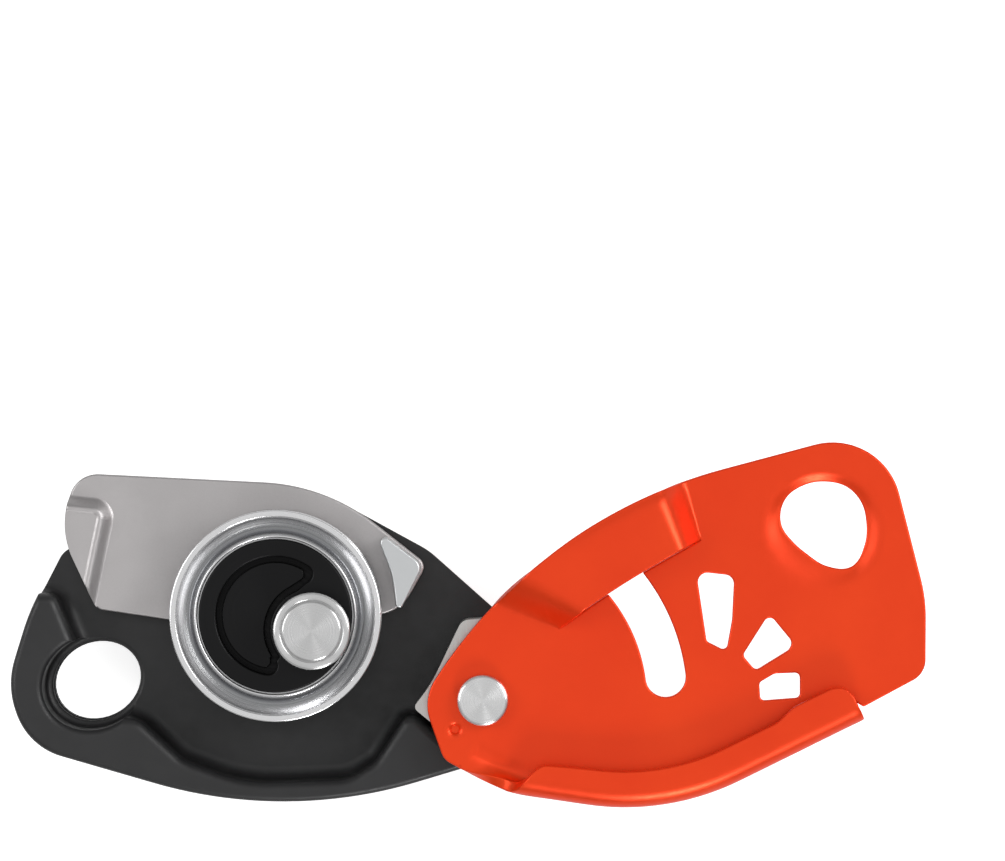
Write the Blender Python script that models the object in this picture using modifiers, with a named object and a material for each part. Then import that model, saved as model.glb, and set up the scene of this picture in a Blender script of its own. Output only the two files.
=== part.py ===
"""Cam-assisted belay device, opened, lying on its back with the rope side up.

Metres, +Z towards the user. Plan positions are measured from the main rivet, and the
whole device hangs on an empty that stands at the rivet, so that the origin lies at the
middle of the footprint.
"""
import math

import bmesh
import bpy
from mathutils import Vector

# Whole device
RIVET_AT = (0.00305, -0.014505)
SEAT_GAP = 0.0003
BORE_GAP = 0.0003
CUT_PAST = 0.0010
EDGE_CUT = 0.0003
PIN_SHORT = 0.0002
ARC_STEP = math.radians(20.0)
ARC_ERROR = 0.00006

# Wheel, hub and axle: the hub follows the wheel, and the axle sits at its edge
WHEEL_RADIUS = 0.0204
RIM_FLAT = 0.0012
GROOVE_RADIUS = 0.0043
GROOVE_DEPTH = 0.0033
DISH_DEPTH = 0.0021
WHEEL_RING_WIDTH = 0.0056
HUB_HEAD_RADIUS = WHEEL_RADIUS - WHEEL_RING_WIDTH
HUB_HEAD_HEIGHT = 0.0019
HUB_HEAD_OVERLAP = 0.0001
BUSH_WALL = 0.0011
WHEEL_BORE = HUB_HEAD_RADIUS - HUB_HEAD_OVERLAP
HUB_JOURNAL_RADIUS = WHEEL_BORE - BUSH_WALL - 2.0 * BORE_GAP
WHEEL_WASHER_RADIUS = HUB_JOURNAL_RADIUS + 0.0040
HUB_SCREW_CIRCLE = 0.65 * HUB_JOURNAL_RADIUS
HUB_SCREW_DEPTH = 0.0045
HUB_WALL = 0.00104
AXLE_RADIUS = 0.0040
WHEEL_OFFSET = HUB_JOURNAL_RADIUS - AXLE_RADIUS - BORE_GAP - HUB_WALL
CRESCENT_RADIUS = HUB_HEAD_RADIUS - 0.0034
CRESCENT_SHELF = 0.0014
CRESCENT_DEPTH = 0.0040
CRESCENT_BORDER = 0.0011
CRESCENT_TIP = 0.0017
CRESCENT_TIP_SWEEP = 2.2
CRESCENT_TIP_GAP = 0.00102
CRESCENT_HIGH_LEAD = math.radians(11.9)
CAM_WASHER_RADIUS = 0.0075
NECK_RADIUS = 0.0035
NECK_GAP = 0.0004
AXLE_HEAD_RADIUS = 0.0074
CRESCENT_HEAD_GAP = 0.0008
CRESCENT_INNER_RADIUS = AXLE_HEAD_RADIUS + CRESCENT_HEAD_GAP
AXLE_HEAD_HEIGHT = 0.0027
AXLE_FACE_RADIUS = 0.0058
FACE_PROUD = 0.0002
AXLE_STUB_RADIUS = 0.0028

# Layers from the back to the front
GRIP_THICKNESS = 0.0123
LEVER_LAP = 0.0057
PIVOT_WASHER = 0.0007
LINK_THICKNESS = 0.0059
FIXED_PLATE_THICKNESS = 0.0030
SHELL_FLOOR = 0.0025
SHELL_WALL_HEIGHT = 0.0112
CAM_WASHER_THICKNESS = 0.0008
CAM_PLATE_THICKNESS = 0.0025
WHEEL_WASHER_THICKNESS = 0.0006
WHEEL_WIDTH = 0.0099
HUB_PROUD = -0.0004
SIDE_PLATE_THICKNESS = 0.0022
SIDE_PLATE_CLEARANCE = 0.0007

LINK_BACK = LEVER_LAP + PIVOT_WASHER + 0.0004
LINK_FRONT = LINK_BACK + LINK_THICKNESS
FIXED_BACK = LINK_FRONT + SEAT_GAP
FIXED_FRONT = FIXED_BACK + FIXED_PLATE_THICKNESS
SHELL_BACK = FIXED_FRONT + SEAT_GAP
SHELL_FLOOR_FRONT = SHELL_BACK + SHELL_FLOOR
SHELL_FRONT = SHELL_FLOOR_FRONT + SHELL_WALL_HEIGHT
CAM_WASHER_BACK = SHELL_FLOOR_FRONT + SEAT_GAP
CAM_BACK = CAM_WASHER_BACK + CAM_WASHER_THICKNESS + SEAT_GAP
CAM_FRONT = CAM_BACK + CAM_PLATE_THICKNESS
WHEEL_WASHER_BACK = CAM_FRONT + SEAT_GAP
WHEEL_BACK = WHEEL_WASHER_BACK + WHEEL_WASHER_THICKNESS + SEAT_GAP
WHEEL_FRONT = WHEEL_BACK + WHEEL_WIDTH
HUB_FRONT = WHEEL_FRONT + HUB_PROUD
SIDE_PLATE_BACK = WHEEL_FRONT + SIDE_PLATE_CLEARANCE
SIDE_PLATE_FRONT = SIDE_PLATE_BACK + SIDE_PLATE_THICKNESS

# Places in plan, from the rivet
AXLE_REACH = 0.0354
AXLE_ANGLE = math.radians(157.9)
WHEEL_OFFSET_ANGLE = math.radians(158.9)
ATTACHMENT_REACH = 0.0743
ATTACHMENT_ANGLE = math.radians(177.25)
PLATE_SWING = math.radians(150.0)
CAM_TRAVEL = math.radians(28.0)


def polar(radius, angle, centre=(0.0, 0.0)):
    """Return the plan point at a radius and an angle about a centre."""
    return (centre[0] + radius * math.cos(angle), centre[1] + radius * math.sin(angle))


AXLE = polar(AXLE_REACH, AXLE_ANGLE)
WHEEL = polar(WHEEL_OFFSET, WHEEL_OFFSET_ANGLE, AXLE)
BODY_HOLE_SHIFT = (-0.00095, -0.0005)
BODY_HOLE = polar(ATTACHMENT_REACH, ATTACHMENT_ANGLE, BODY_HOLE_SHIFT)
PLATE_HOLE = polar(ATTACHMENT_REACH, ATTACHMENT_ANGLE - PLATE_SWING)


def by_hole(x, y, radius):
    """Return a corner of the body that keeps its distance from the attachment hole."""
    return (BODY_HOLE[0] + x, BODY_HOLE[1] + y, radius)


# Body shell and fixed plate: corners with their fillet radii
BODY_OUTLINE = (
    (0.0105, -0.0092, 0.0080),
    (0.0115, 0.0080, 0.0070),
    (0.0065, 0.0132, 0.0030),
    (-0.0106, 0.0284, 0.0150),
    (-0.0335, 0.0409, 0.0390),
    (-0.0620, 0.0409, 0.0100),
    by_hole(-0.006736, 0.024835, 0.0040),
    by_hole(-0.012536, 0.013535, 0.0450),
    by_hole(-0.016836, -0.000465, 0.0160),
    by_hole(-0.012736, -0.012365, 0.0130),
    (-0.0380, -0.02374, 0.0900),
)
CAVITY_OUTLINE = (
    by_hole(-0.020836, 0.017135, 0.0),
    by_hole(-0.007736, 0.017135, 0.0020),
    by_hole(-0.003736, 0.007835, 0.0016),
    by_hole(-0.002436, -0.006065, 0.0020),
    by_hole(0.008564, -0.006965, 0.0050),
    by_hole(0.017164, -0.014965, 0.0080),
    by_hole(0.029164, -0.019365, 0.0300),
    (-0.0260, -0.0156, 0.0090),
    (-0.0209, -0.0123, 0.0040),
    (-0.0142, -0.00245, 0.0012),
    (-0.0059, -0.00925, 0.0010),
    (0.0220, -0.00925, 0.0),
    (0.0220, 0.0560, 0.0),
    by_hole(-0.020836, 0.052935, 0.0),
)
FIXED_PLATE_INSET = 0.0008
WALL_EDGE_ROUND = 0.0010
CAVITY_FILLET = 0.0016
HOLE_LONG = 0.00855
HOLE_SHORT = 0.00738
HOLE_TURN = math.radians(25.0)
HOLE_STEP = 0.0002
HOLE_POCKET_GAP = 0.0016
HOLE_POCKET_FILLET = 0.0013
HOLE_POCKET_SINK = 0.0002

# Shell screws: plan places in the wall
SCREW_PLACES = (by_hole(-0.010436, 0.007135, 0.0)[:2], by_hole(0.001164, -0.012765, 0.0)[:2], (-0.0080, -0.0118))
SCREW_RADIUS = 0.0013
SCREW_HEAD_RADIUS = 0.0026
SCREW_HEAD_HEIGHT = 0.0014
SCREW_LENGTH = 0.0105
SCREW_END_GAP = 0.0005

# Rivet and its stack
RIVET_RADIUS = 0.0030
RIVET_HEAD_RADIUS = 0.0049
RIVET_HEAD_HEIGHT = 0.0020
COLLAR_RADIUS = 0.0046
COLLAR_HEIGHT = 0.0024
RIVET_TAIL = 0.0006
SPACER_RADIUS = 0.0052
RIVET_WASHER_RADIUS = 0.0060
RIVET_WASHER_THICKNESS = 0.0007

# Friction shoe, a bent channel
SHOE_OUTLINE = (
    (-0.0134, -0.0016, 0.0010),
    (-0.0055, -0.0081, 0.0040),
    (0.0060, -0.0070, 0.0030),
    (0.0060, 0.0158, 0.0030),
    (-0.0040, 0.0153, 0.0022),
    (-0.0099, 0.0030, 0.0200),
)
SHOE_WALL = 0.0024
SHOE_FLANGE = 0.0020
SHOE_INNER_ROUND = 0.0015
SHOE_PIN_AT = (0.0005, 0.0110)
SHOE_PIN_RADIUS = 0.0015

# Cam plate, tail and nose
TAIL_OUTLINE = (
    (-0.0163, 0.0159, 0.0080),
    (-0.0109, 0.02575, 0.0022),
    (-0.0305, 0.0411, 0.0380),
    (-0.0789, 0.0435, 0.0055),
    (-0.0822, 0.0325, 0.0160),
    (-0.0749, 0.0169, 0.0020),
)
CAM_DISC_RADIUS = WHEEL_RADIUS - 0.0011
CAM_DISC_ARC = (math.radians(184.0), math.radians(326.0))
TAIL_STEP_OUTLINE = (
    (-0.0900, 0.0382, 0.0),
    (-0.0741, 0.0382, 0.0030),
    (-0.0711, 0.0342, 0.0040),
    (-0.0752, 0.0150, 0.0),
    (-0.0900, 0.0150, 0.0),
)
TAIL_STEP_HEIGHT = 0.0022
TAIL_STEP_SLOPE = 0.0012
TAIL_STEP_INSET = 0.0002
NOSE_OUTLINE = (
    (-0.01655, 0.0157, 0.00075),
    (-0.0115, 0.0258, 0.0022),
    (-0.0210, 0.0331, 0.0010),
    (-0.0173, 0.0236, 0.0200),
)
NOSE_BELOW_WHEEL = 0.0006

# Drive pin between the cam and the driver
DRIVE_PIN_RADIUS = 0.0015
DRIVE_PIN_REACH = 0.0118
DRIVE_PIN_ANGLE = math.radians(100.0)

# Moving side plate, a pressed sheet
LIP_CORNERS = (
    (-0.0075, -0.01135, 0.0),
    (0.0032, -0.0175, 0.0300),
    (0.0354, -0.0222, 0.0500),
    (0.0732, -0.0036, 0.0),
)
PLATE_CORNERS = (
    (0.0731, -0.0013, 0.0006),
    (0.0850, 0.0051, 0.0045),
    (0.0851, 0.0195, 0.0300),
    (0.0767, 0.0525, 0.0132),
)
PLATE_CREST = (0.0111, 0.0350, 0.0950)
PLATE_HEEL = (
    (-0.0116, 0.0002, 0.0090),
    (-0.0075, -0.01135, 0.0035),
)
LIP_START = 0.0034
LIP_ROOT_BOW = 0.0001
LIP_ROUND = 0.0170
LIP_ROLL_SHARE = 0.60
LIP_WIDEN_START = 0.55
LIP_RADIUS = 0.0036
LIP_LAND = 0.0021
LIP_LAND_GAIN = 0.0013
LIP_GAIN_RUN = 0.0300
TAB_LAND = 0.0047
TAB_LENGTH = 0.0160
TAB_CORNER = 0.0040
TAB_DROP = 0.0034
SLOT_HALF_WIDTH = 0.00385
SLOT_END_CLEARANCE = math.radians(0.7)
PLATE_OPENING = (
    0.0077, 0.0078, 0.0080, 0.0080, 0.0085, 0.0092, 0.0088, 0.0074, 0.0071, 0.0083, 0.0097, 0.0085,
)
DISH_RADIUS = 0.0121
DISH_SHIFT = (-0.0008, -0.0016)
DISH_SINK = 0.0006
WINDOWS = (
    ((0.0410, 0.0247, 0.0018), (0.0483, 0.0239, 0.0018), (0.0479, 0.0155, 0.0100),
     (0.0468, 0.0094, 0.0009), (0.0430, 0.0113, 0.0010)),
    ((0.0550, 0.0166, 0.0012), (0.0596, 0.0110, 0.0015), (0.0587, 0.0096, 0.0012),
     (0.0524, 0.0057, 0.0010), (0.0499, 0.0086, 0.0010)),
    ((0.0531, 0.0034, 0.0009), (0.0560, 0.0051, 0.0020), (0.0609, 0.0053, 0.0010),
     (0.0609, 0.0005, 0.0009), (0.0533, -0.0001, 0.0009)),
)
BRIDGE_RISE = 0.0059
BRIDGE_FEET = ((0.0143, 0.0136), (0.0419, 0.0308))
BRIDGE_INNER_BOW = 0.0006
BRIDGE_OUTER_ANGLES = (math.radians(136.6), math.radians(109.5))
BRIDGE_LEFT_RAMP = 0.22
BRIDGE_RIGHT_RAMP = 0.16
DIMPLE_AT = (-0.0053, -0.0055)
DIMPLE_RADIUS = 0.0015
DIMPLE_DEPTH = 0.0007

# Release handle on the back
DRIVER_HUB_RADIUS = 0.0140
DRIVER_EDGE = 0.0006
ARM_RADIUS = DRIVER_HUB_RADIUS - 0.0025
SPRING_POST_RADIUS = AXLE_RADIUS + 0.0015
DRIVE_PIN_LIFT = 0.0016
LINK_END_RADIUS = 0.0065
PIVOT_CLEARANCE = 0.0020
PIVOT_ANGLE_AT_RIVET = math.radians(182.0)
PIVOT = polar(COLLAR_RADIUS + LINK_END_RADIUS + PIVOT_CLEARANCE, PIVOT_ANGLE_AT_RIVET)
PIVOT_REACH = math.dist(AXLE, PIVOT)
PIVOT_ANGLE = math.atan2(PIVOT[1] - AXLE[1], PIVOT[0] - AXLE[0])
ARM_STEP = 0.0003
NUT_RADIUS = 0.0064
NUT_HEIGHT = 0.0040
NUT_RECESS = 0.0008
NUT_POCKET_GAP = 0.0006
PIVOT_PIN_RADIUS = 0.0025
PIVOT_HEAD_RADIUS = 0.0042
PIVOT_HEAD_HEIGHT = 0.0016
LEVER_ANGLE = math.radians(186.0)
LEVER_LENGTH = 0.0520
LEVER_BOSS_RADIUS = 0.0070
LEVER_TIP_RADIUS = 0.0058
LEVER_BELLY = 0.0012
LEVER_CLEARANCE = 0.0006
LEVER_LINE = abs(
    (PIVOT[0] - AXLE[0]) * math.sin(LEVER_ANGLE) - (PIVOT[1] - AXLE[1]) * math.cos(LEVER_ANGLE)
)
DRIVER_FLAT = LEVER_LINE - LEVER_BOSS_RADIUS - LEVER_CLEARANCE
LAP_LENGTH = 0.0300
LAP_SLANT = 0.0020
LEVER_EDGE_ROUND = 0.0012
INSERT_START = 0.0270
INSERT_LENGTH = 0.0180
INSERT_WIDTH = 0.0070
INSERT_THICKNESS = 0.0012

# Cam return spring, round the axle inside the driver
SPRING_WIRE = 0.0010
SPRING_RADIUS = 0.0074
SPRING_TURNS = 3.0
SPRING_POINTS_PER_TURN = 10
SPRING_POCKET_FLOOR = 0.0066
SPRING_LEG = 0.0022
SPRING_POCKET_GAP = 0.0007

PART_COLLECTION = "belay_device"
CUTTER_COLLECTION = "cutters"


def start_scene():
    """Empty the scene and make the two collections."""
    for old in list(bpy.data.objects):
        bpy.data.objects.remove(old, do_unlink=True)
    for name in (PART_COLLECTION, CUTTER_COLLECTION):
        if name not in bpy.data.collections:
            bpy.context.scene.collection.children.link(bpy.data.collections.new(name))


def make_material(name, colour, roughness, metallic):
    """Return a Principled material."""
    material = bpy.data.materials.new(name)
    material.use_nodes = True
    shader = material.node_tree.nodes["Principled BSDF"]
    shader.inputs["Base Color"].default_value = (*colour, 1.0)
    shader.inputs["Roughness"].default_value = roughness
    shader.inputs["Metallic"].default_value = metallic
    return material


def arc(centre, radius, start, end):
    """Return points on an arc, both ends included."""
    step = min(ARC_STEP, 2.0 * math.sqrt(2.0 * ARC_ERROR / radius))
    steps = max(2, math.ceil(abs(end - start) / step))
    return [polar(radius, start + (end - start) * i / steps, centre) for i in range(steps + 1)]


def circle(centre, radius, steps=36):
    """Return points round a circle."""
    return [polar(radius, 2.0 * math.pi * i / steps, centre) for i in range(steps)]


def rounded(corners, closed=True):
    """Return an outline through corners, each with its own fillet radius."""
    points = []
    count = len(corners)
    for index, (x, y, radius) in enumerate(corners):
        corner = Vector((x, y))
        at_end = not closed and index in (0, count - 1)
        if radius <= 0.0 or at_end:
            points.append((x, y))
            continue
        before = Vector(corners[index - 1][:2]) - corner
        after = Vector(corners[(index + 1) % count][:2]) - corner
        before.normalize()
        after.normalize()
        half = before.angle(after) / 2.0
        middle = corner + (before + after).normalized() * radius / math.sin(half)
        first = corner + before * radius / math.tan(half) - middle
        last = corner + after * radius / math.tan(half) - middle
        start = math.atan2(first.y, first.x)
        turn = math.atan2(first.x * last.y - first.y * last.x, first.dot(last))
        points.extend(arc(middle, radius, start, start + turn))
    return points


def inset(points, distance):
    """Return a closed counter-clockwise outline moved inwards."""
    moved = []
    for index, point in enumerate(points):
        here = Vector(point)
        along_in = (here - Vector(points[index - 1])).normalized()
        along_out = (Vector(points[(index + 1) % len(points)]) - here).normalized()
        side_in = Vector((-along_in.y, along_in.x))
        side_out = Vector((-along_out.y, along_out.x))
        bisector = (side_in + side_out).normalized()
        moved.append(tuple(here + bisector * distance / max(0.5, bisector.dot(side_in))))
    return moved


def link(obj, material=None, collection=PART_COLLECTION):
    """Put an object in a collection and give it a material."""
    bpy.data.collections[collection].objects.link(obj)
    if material is not None:
        obj.data.materials.append(material)
    return obj


def slab_mesh(name, outlines, low, high):
    """Return a flat plate mesh between two heights; outlines after the first are holes."""
    curve = bpy.data.curves.new(name, "CURVE")
    curve.dimensions = "2D"
    curve.fill_mode = "BOTH"
    curve.extrude = (high - low) / 2.0
    for outline in outlines:
        spline = curve.splines.new("POLY")
        spline.points.add(len(outline) - 1)
        spline.use_cyclic_u = True
        for point, (x, y) in zip(spline.points, outline):
            point.co = (x, y, 0.0, 1.0)
    holder = bpy.data.objects.new(name + "_outline", curve)
    bpy.context.scene.collection.objects.link(holder)
    bpy.context.view_layer.update()
    evaluated = holder.evaluated_get(bpy.context.evaluated_depsgraph_get())
    mesh = bpy.data.meshes.new_from_object(evaluated)
    bpy.data.objects.remove(holder, do_unlink=True)
    mesh.name = name
    mesh.materials.clear()
    shape = bmesh.new()
    shape.from_mesh(mesh)
    bmesh.ops.remove_doubles(shape, verts=shape.verts, dist=0.000002)
    bmesh.ops.translate(shape, verts=shape.verts, vec=(0.0, 0.0, (low + high) / 2.0))
    bmesh.ops.recalc_face_normals(shape, faces=shape.faces)
    shape.to_mesh(mesh)
    shape.free()
    return mesh


def slab(name, outlines, low, high, material):
    """Make a flat plate as a part."""
    return link(bpy.data.objects.new(name, slab_mesh(name, outlines, low, high)), material)


def hide_cutter(obj):
    """Show a cutter as wire and keep it out of renders."""
    obj.display_type = "WIRE"
    obj.hide_render = True
    return obj


def slab_cutter(name, outlines, low, high):
    """Make a flat plate that cuts others."""
    obj = bpy.data.objects.new(name, slab_mesh(name, outlines, low, high))
    return hide_cutter(link(obj, collection=CUTTER_COLLECTION))


def turned_object(name, profile, centre, steps):
    """Turn a closed profile of radius and height round a vertical axis."""
    mesh = bpy.data.meshes.new(name)
    points = [(radius, 0.0, height) for radius, height in profile]
    edges = [(i, (i + 1) % len(points)) for i in range(len(points))]
    on_axis = [i for i, (radius, height) in enumerate(profile) if radius == 0.0]
    edges = [pair for pair in edges if not (pair[0] in on_axis and pair[1] in on_axis)]
    mesh.from_pydata(points, edges, [])
    obj = bpy.data.objects.new(name, mesh)
    obj.location = (centre[0], centre[1], 0.0)
    screw = obj.modifiers.new("Turn", "SCREW")
    screw.steps = steps
    screw.render_steps = steps
    screw.use_merge_vertices = True
    screw.merge_threshold = 0.00001
    screw.use_smooth_shade = True
    return obj


def turned(name, profile, centre, material, steps=40):
    """Make a turned part."""
    return link(turned_object(name, profile, centre, steps), material)


def turned_cutter(name, profile, centre, steps=40, turn=0.0):
    """Make a turned cutter; a small turn keeps its facets off those of another one on its axis."""
    obj = turned_object(name, profile, centre, steps)
    obj.rotation_euler.z = turn
    return hide_cutter(link(obj, collection=CUTTER_COLLECTION))


def rod_profile(radius, low, high, chamfer=0.0):
    """Return the profile of a plain rod, run from the top down its outer side."""
    if chamfer <= 0.0:
        return [(0.0, high), (radius, high), (radius, low), (0.0, low)]
    return [
        (0.0, high), (radius - chamfer, high), (radius, high - chamfer),
        (radius, low + chamfer), (radius - chamfer, low), (0.0, low),
    ]


def ring_profile(inner, outer, low, high, chamfer=0.0):
    """Return the profile of a ring."""
    if chamfer <= 0.0:
        return [(inner, high), (outer, high), (outer, low), (inner, low)]
    return [
        (inner, high), (outer - chamfer, high), (outer, high - chamfer),
        (outer, low + chamfer), (outer - chamfer, low), (inner, low),
    ]


def boolean(target, tool, operation):
    """Cut a part with a tool, or join the tool to it."""
    modifier = target.modifiers.new(tool.name, "BOOLEAN")
    modifier.operation = operation
    modifier.object = tool
    modifier.solver = "EXACT"
    return target


def cut(target, *tools):
    """Cut tools out of a part."""
    for tool in tools:
        boolean(target, tool, "DIFFERENCE")


def join(target, *tools):
    """Join tools to a part."""
    for tool in tools:
        boolean(target, tool, "UNION")


def drill(target, name, centre, radius, low, high, steps=32):
    """Drill a round hole through a part."""
    cut(target, turned_cutter(name, rod_profile(radius, low, high), centre, steps))


def round_level(mesh, level, width, segments):
    """Round the edges that lie at one height of a mesh."""
    shape = bmesh.new()
    shape.from_mesh(mesh)
    edges = []
    for edge in shape.edges:
        if all(abs(vert.co.z - level) < 0.00001 for vert in edge.verts) and edge.calc_face_angle(0.0) > 0.5:
            edges.append(edge)
    bmesh.ops.bevel(
        shape, geom=edges, offset=width, segments=segments, profile=0.5, affect="EDGES", clamp_overlap=True
    )
    shape.to_mesh(mesh)
    shape.free()


def smooth(obj, angle=35.0):
    """Shade a plain mesh smooth across its shallow edges."""
    obj.data.shade_smooth()
    obj.data.set_sharp_from_angle(angle=math.radians(angle))
    return obj


def hole_oval(border, count):
    """Oval attachment hole of the body, wider by a border all round."""
    long, short = HOLE_LONG + border, HOLE_SHORT + border
    points = []
    for index in range(count):
        angle = 2.0 * math.pi * index / count
        along = polar(long * math.cos(angle), HOLE_TURN, BODY_HOLE)
        points.append(polar(short * math.sin(angle), HOLE_TURN + math.pi / 2.0, along))
    return points


def fixed_plate(materials):
    """Flat alloy plate at the back that carries the axle, the rivet and the load."""
    outline = inset(rounded(BODY_OUTLINE), FIXED_PLATE_INSET)
    plate = slab("fixed_side_plate", [outline, hole_oval(0.0, 44)], FIXED_BACK, FIXED_FRONT, materials["alloy"])
    bottom = FIXED_BACK - CUT_PAST
    top = FIXED_FRONT + CUT_PAST
    drill(plate, "fixed_axle_bore", AXLE, AXLE_RADIUS + BORE_GAP, bottom, top)
    drill(plate, "fixed_rivet_bore", (0.0, 0.0), RIVET_RADIUS + BORE_GAP, bottom, top)
    drill(plate, "fixed_shoe_pin_bore", SHOE_PIN_AT, SHOE_PIN_RADIUS + BORE_GAP, bottom, top, 16)
    for index, place in enumerate(SCREW_PLACES):
        drill(plate, f"fixed_screw_bore_{index + 1}", place, SCREW_RADIUS + BORE_GAP, bottom, top, 16)
    cut(plate, arc_slot("fixed_pin_slot", bottom, top))
    leg = polar(SPRING_RADIUS, spring_end_angle(), AXLE)
    drill(plate, "fixed_spring_hole", leg, SPRING_WIRE / 2.0 + BORE_GAP, bottom, FIXED_BACK + SPRING_LEG, 12)
    return plate


def arc_slot(name, low, high):
    """Cutter for the arc slot that the drive pin travels in; its ends stop the cam."""
    half = DRIVE_PIN_RADIUS + BORE_GAP
    start = DRIVE_PIN_ANGLE
    end = DRIVE_PIN_ANGLE - CAM_TRAVEL
    outline = arc(AXLE, DRIVE_PIN_REACH + half, end, start)
    outline += arc(polar(DRIVE_PIN_REACH, start, AXLE), half, start, start + math.pi)[1:-1]
    outline += arc(AXLE, DRIVE_PIN_REACH - half, start, end)
    outline += arc(polar(DRIVE_PIN_REACH, end, AXLE), half, end + math.pi, end + 2.0 * math.pi)[1:-1]
    return slab_cutter(name, [outline], low, high)


def body_shell(materials):
    """Moulded nylon tray: floor, tall outer wall and the funnel round the attachment hole."""
    outlines = [rounded(BODY_OUTLINE), hole_oval(HOLE_STEP, 44)]
    shell = slab("body_shell", outlines, SHELL_BACK, SHELL_FRONT, materials["nylon"])
    round_level(shell.data, SHELL_FRONT, WALL_EDGE_ROUND, 2)
    above = SHELL_FRONT + 2.0 * CUT_PAST
    cavity = slab_cutter("shell_cavity", [rounded(CAVITY_OUTLINE)], SHELL_FLOOR_FRONT, above)
    round_level(cavity.data, SHELL_FLOOR_FRONT, CAVITY_FILLET, 2)
    funnel = SHELL_FLOOR_FRONT - HOLE_POCKET_SINK
    pocket = slab_cutter("shell_hole_pocket", [hole_oval(HOLE_POCKET_GAP, 48)], funnel, above)
    round_level(pocket.data, funnel, HOLE_POCKET_FILLET, 2)
    cut(shell, cavity, pocket)
    bottom = SHELL_BACK - CUT_PAST
    drill(shell, "shell_axle_bore", AXLE, AXLE_RADIUS + BORE_GAP, bottom, above)
    drill(shell, "shell_rivet_bore", (0.0, 0.0), RIVET_RADIUS + BORE_GAP, bottom, above)
    drill(shell, "shell_shoe_pin_bore", SHOE_PIN_AT, SHOE_PIN_RADIUS + BORE_GAP, bottom, above, 16)
    screw_top = FIXED_BACK + SCREW_LENGTH - SCREW_END_GAP
    for index, place in enumerate(SCREW_PLACES):
        drill(shell, f"shell_screw_bore_{index + 1}", place, SCREW_RADIUS + BORE_GAP, bottom, screw_top, 16)
    cut(shell, arc_slot("shell_pin_slot", bottom, SHELL_FLOOR_FRONT + CUT_PAST))
    return shell


def shell_screws(materials):
    """Pan-head screws from behind, through the fixed plate into the wall."""
    head_front = FIXED_BACK - SEAT_GAP
    tip = FIXED_BACK + SCREW_LENGTH - 2.0 * SCREW_END_GAP
    for index, place in enumerate(SCREW_PLACES):
        profile = [
            (0.0, tip), (SCREW_RADIUS, tip), (SCREW_RADIUS, head_front), (SCREW_HEAD_RADIUS, head_front),
            (SCREW_HEAD_RADIUS, head_front - 0.6 * SCREW_HEAD_HEIGHT),
            (0.75 * SCREW_HEAD_RADIUS, head_front - SCREW_HEAD_HEIGHT), (0.0, head_front - SCREW_HEAD_HEIGHT),
        ]
        turned(f"shell_screw_{index + 1}", profile, place, materials["steel"], 18)


def friction_shoe(materials):
    """Bent stainless channel round the rivet; the rope is pinched against its left face."""
    low = SHELL_FLOOR_FRONT + SEAT_GAP
    high = SIDE_PLATE_BACK - SEAT_GAP - RIVET_WASHER_THICKNESS - SEAT_GAP
    outline = rounded(SHOE_OUTLINE)
    shoe = slab("friction_shoe", [outline], low, high, materials["stainless"])
    pocket = [
        (SHOE_OUTLINE[1][0] + SHOE_WALL * 0.2, SHOE_OUTLINE[1][1] + SHOE_WALL, SHOE_INNER_ROUND),
        (2.0 * SHOE_OUTLINE[2][0], SHOE_OUTLINE[2][1] + SHOE_WALL, 0.0),
        (2.0 * SHOE_OUTLINE[3][0], SHOE_OUTLINE[3][1] - SHOE_WALL, 0.0),
        (SHOE_OUTLINE[4][0] + SHOE_WALL * 0.75, SHOE_OUTLINE[4][1] - SHOE_WALL, SHOE_INNER_ROUND),
        (SHOE_OUTLINE[5][0] + SHOE_WALL * 1.05, SHOE_OUTLINE[5][1] - SHOE_WALL * 0.3, 4.0 * SHOE_INNER_ROUND),
    ]
    cut(shoe, slab_cutter("shoe_pocket", [rounded(pocket)], low + SHOE_FLANGE, high - SHOE_FLANGE))
    drill(shoe, "shoe_rivet_bore", (0.0, 0.0), RIVET_RADIUS + BORE_GAP, low - CUT_PAST, high + CUT_PAST)
    drill(shoe, "shoe_pin_bore", SHOE_PIN_AT, SHOE_PIN_RADIUS + BORE_GAP, low - CUT_PAST, high + CUT_PAST, 16)
    pin = rod_profile(SHOE_PIN_RADIUS, FIXED_BACK + PIN_SHORT, high - PIN_SHORT, PIN_SHORT)
    turned("shoe_pin", pin, SHOE_PIN_AT, materials["steel"], 20)
    spacer = ring_profile(
        RIVET_RADIUS + BORE_GAP, SPACER_RADIUS, low + SHOE_FLANGE + SEAT_GAP, high - SHOE_FLANGE - SEAT_GAP
    )
    turned("rivet_spacer", spacer, (0.0, 0.0), materials["steel"], 32)
    washer = ring_profile(
        RIVET_RADIUS + BORE_GAP, RIVET_WASHER_RADIUS, high + SEAT_GAP, high + SEAT_GAP + RIVET_WASHER_THICKNESS
    )
    turned("rivet_washer", washer, (0.0, 0.0), materials["acetal"], 32)


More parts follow.
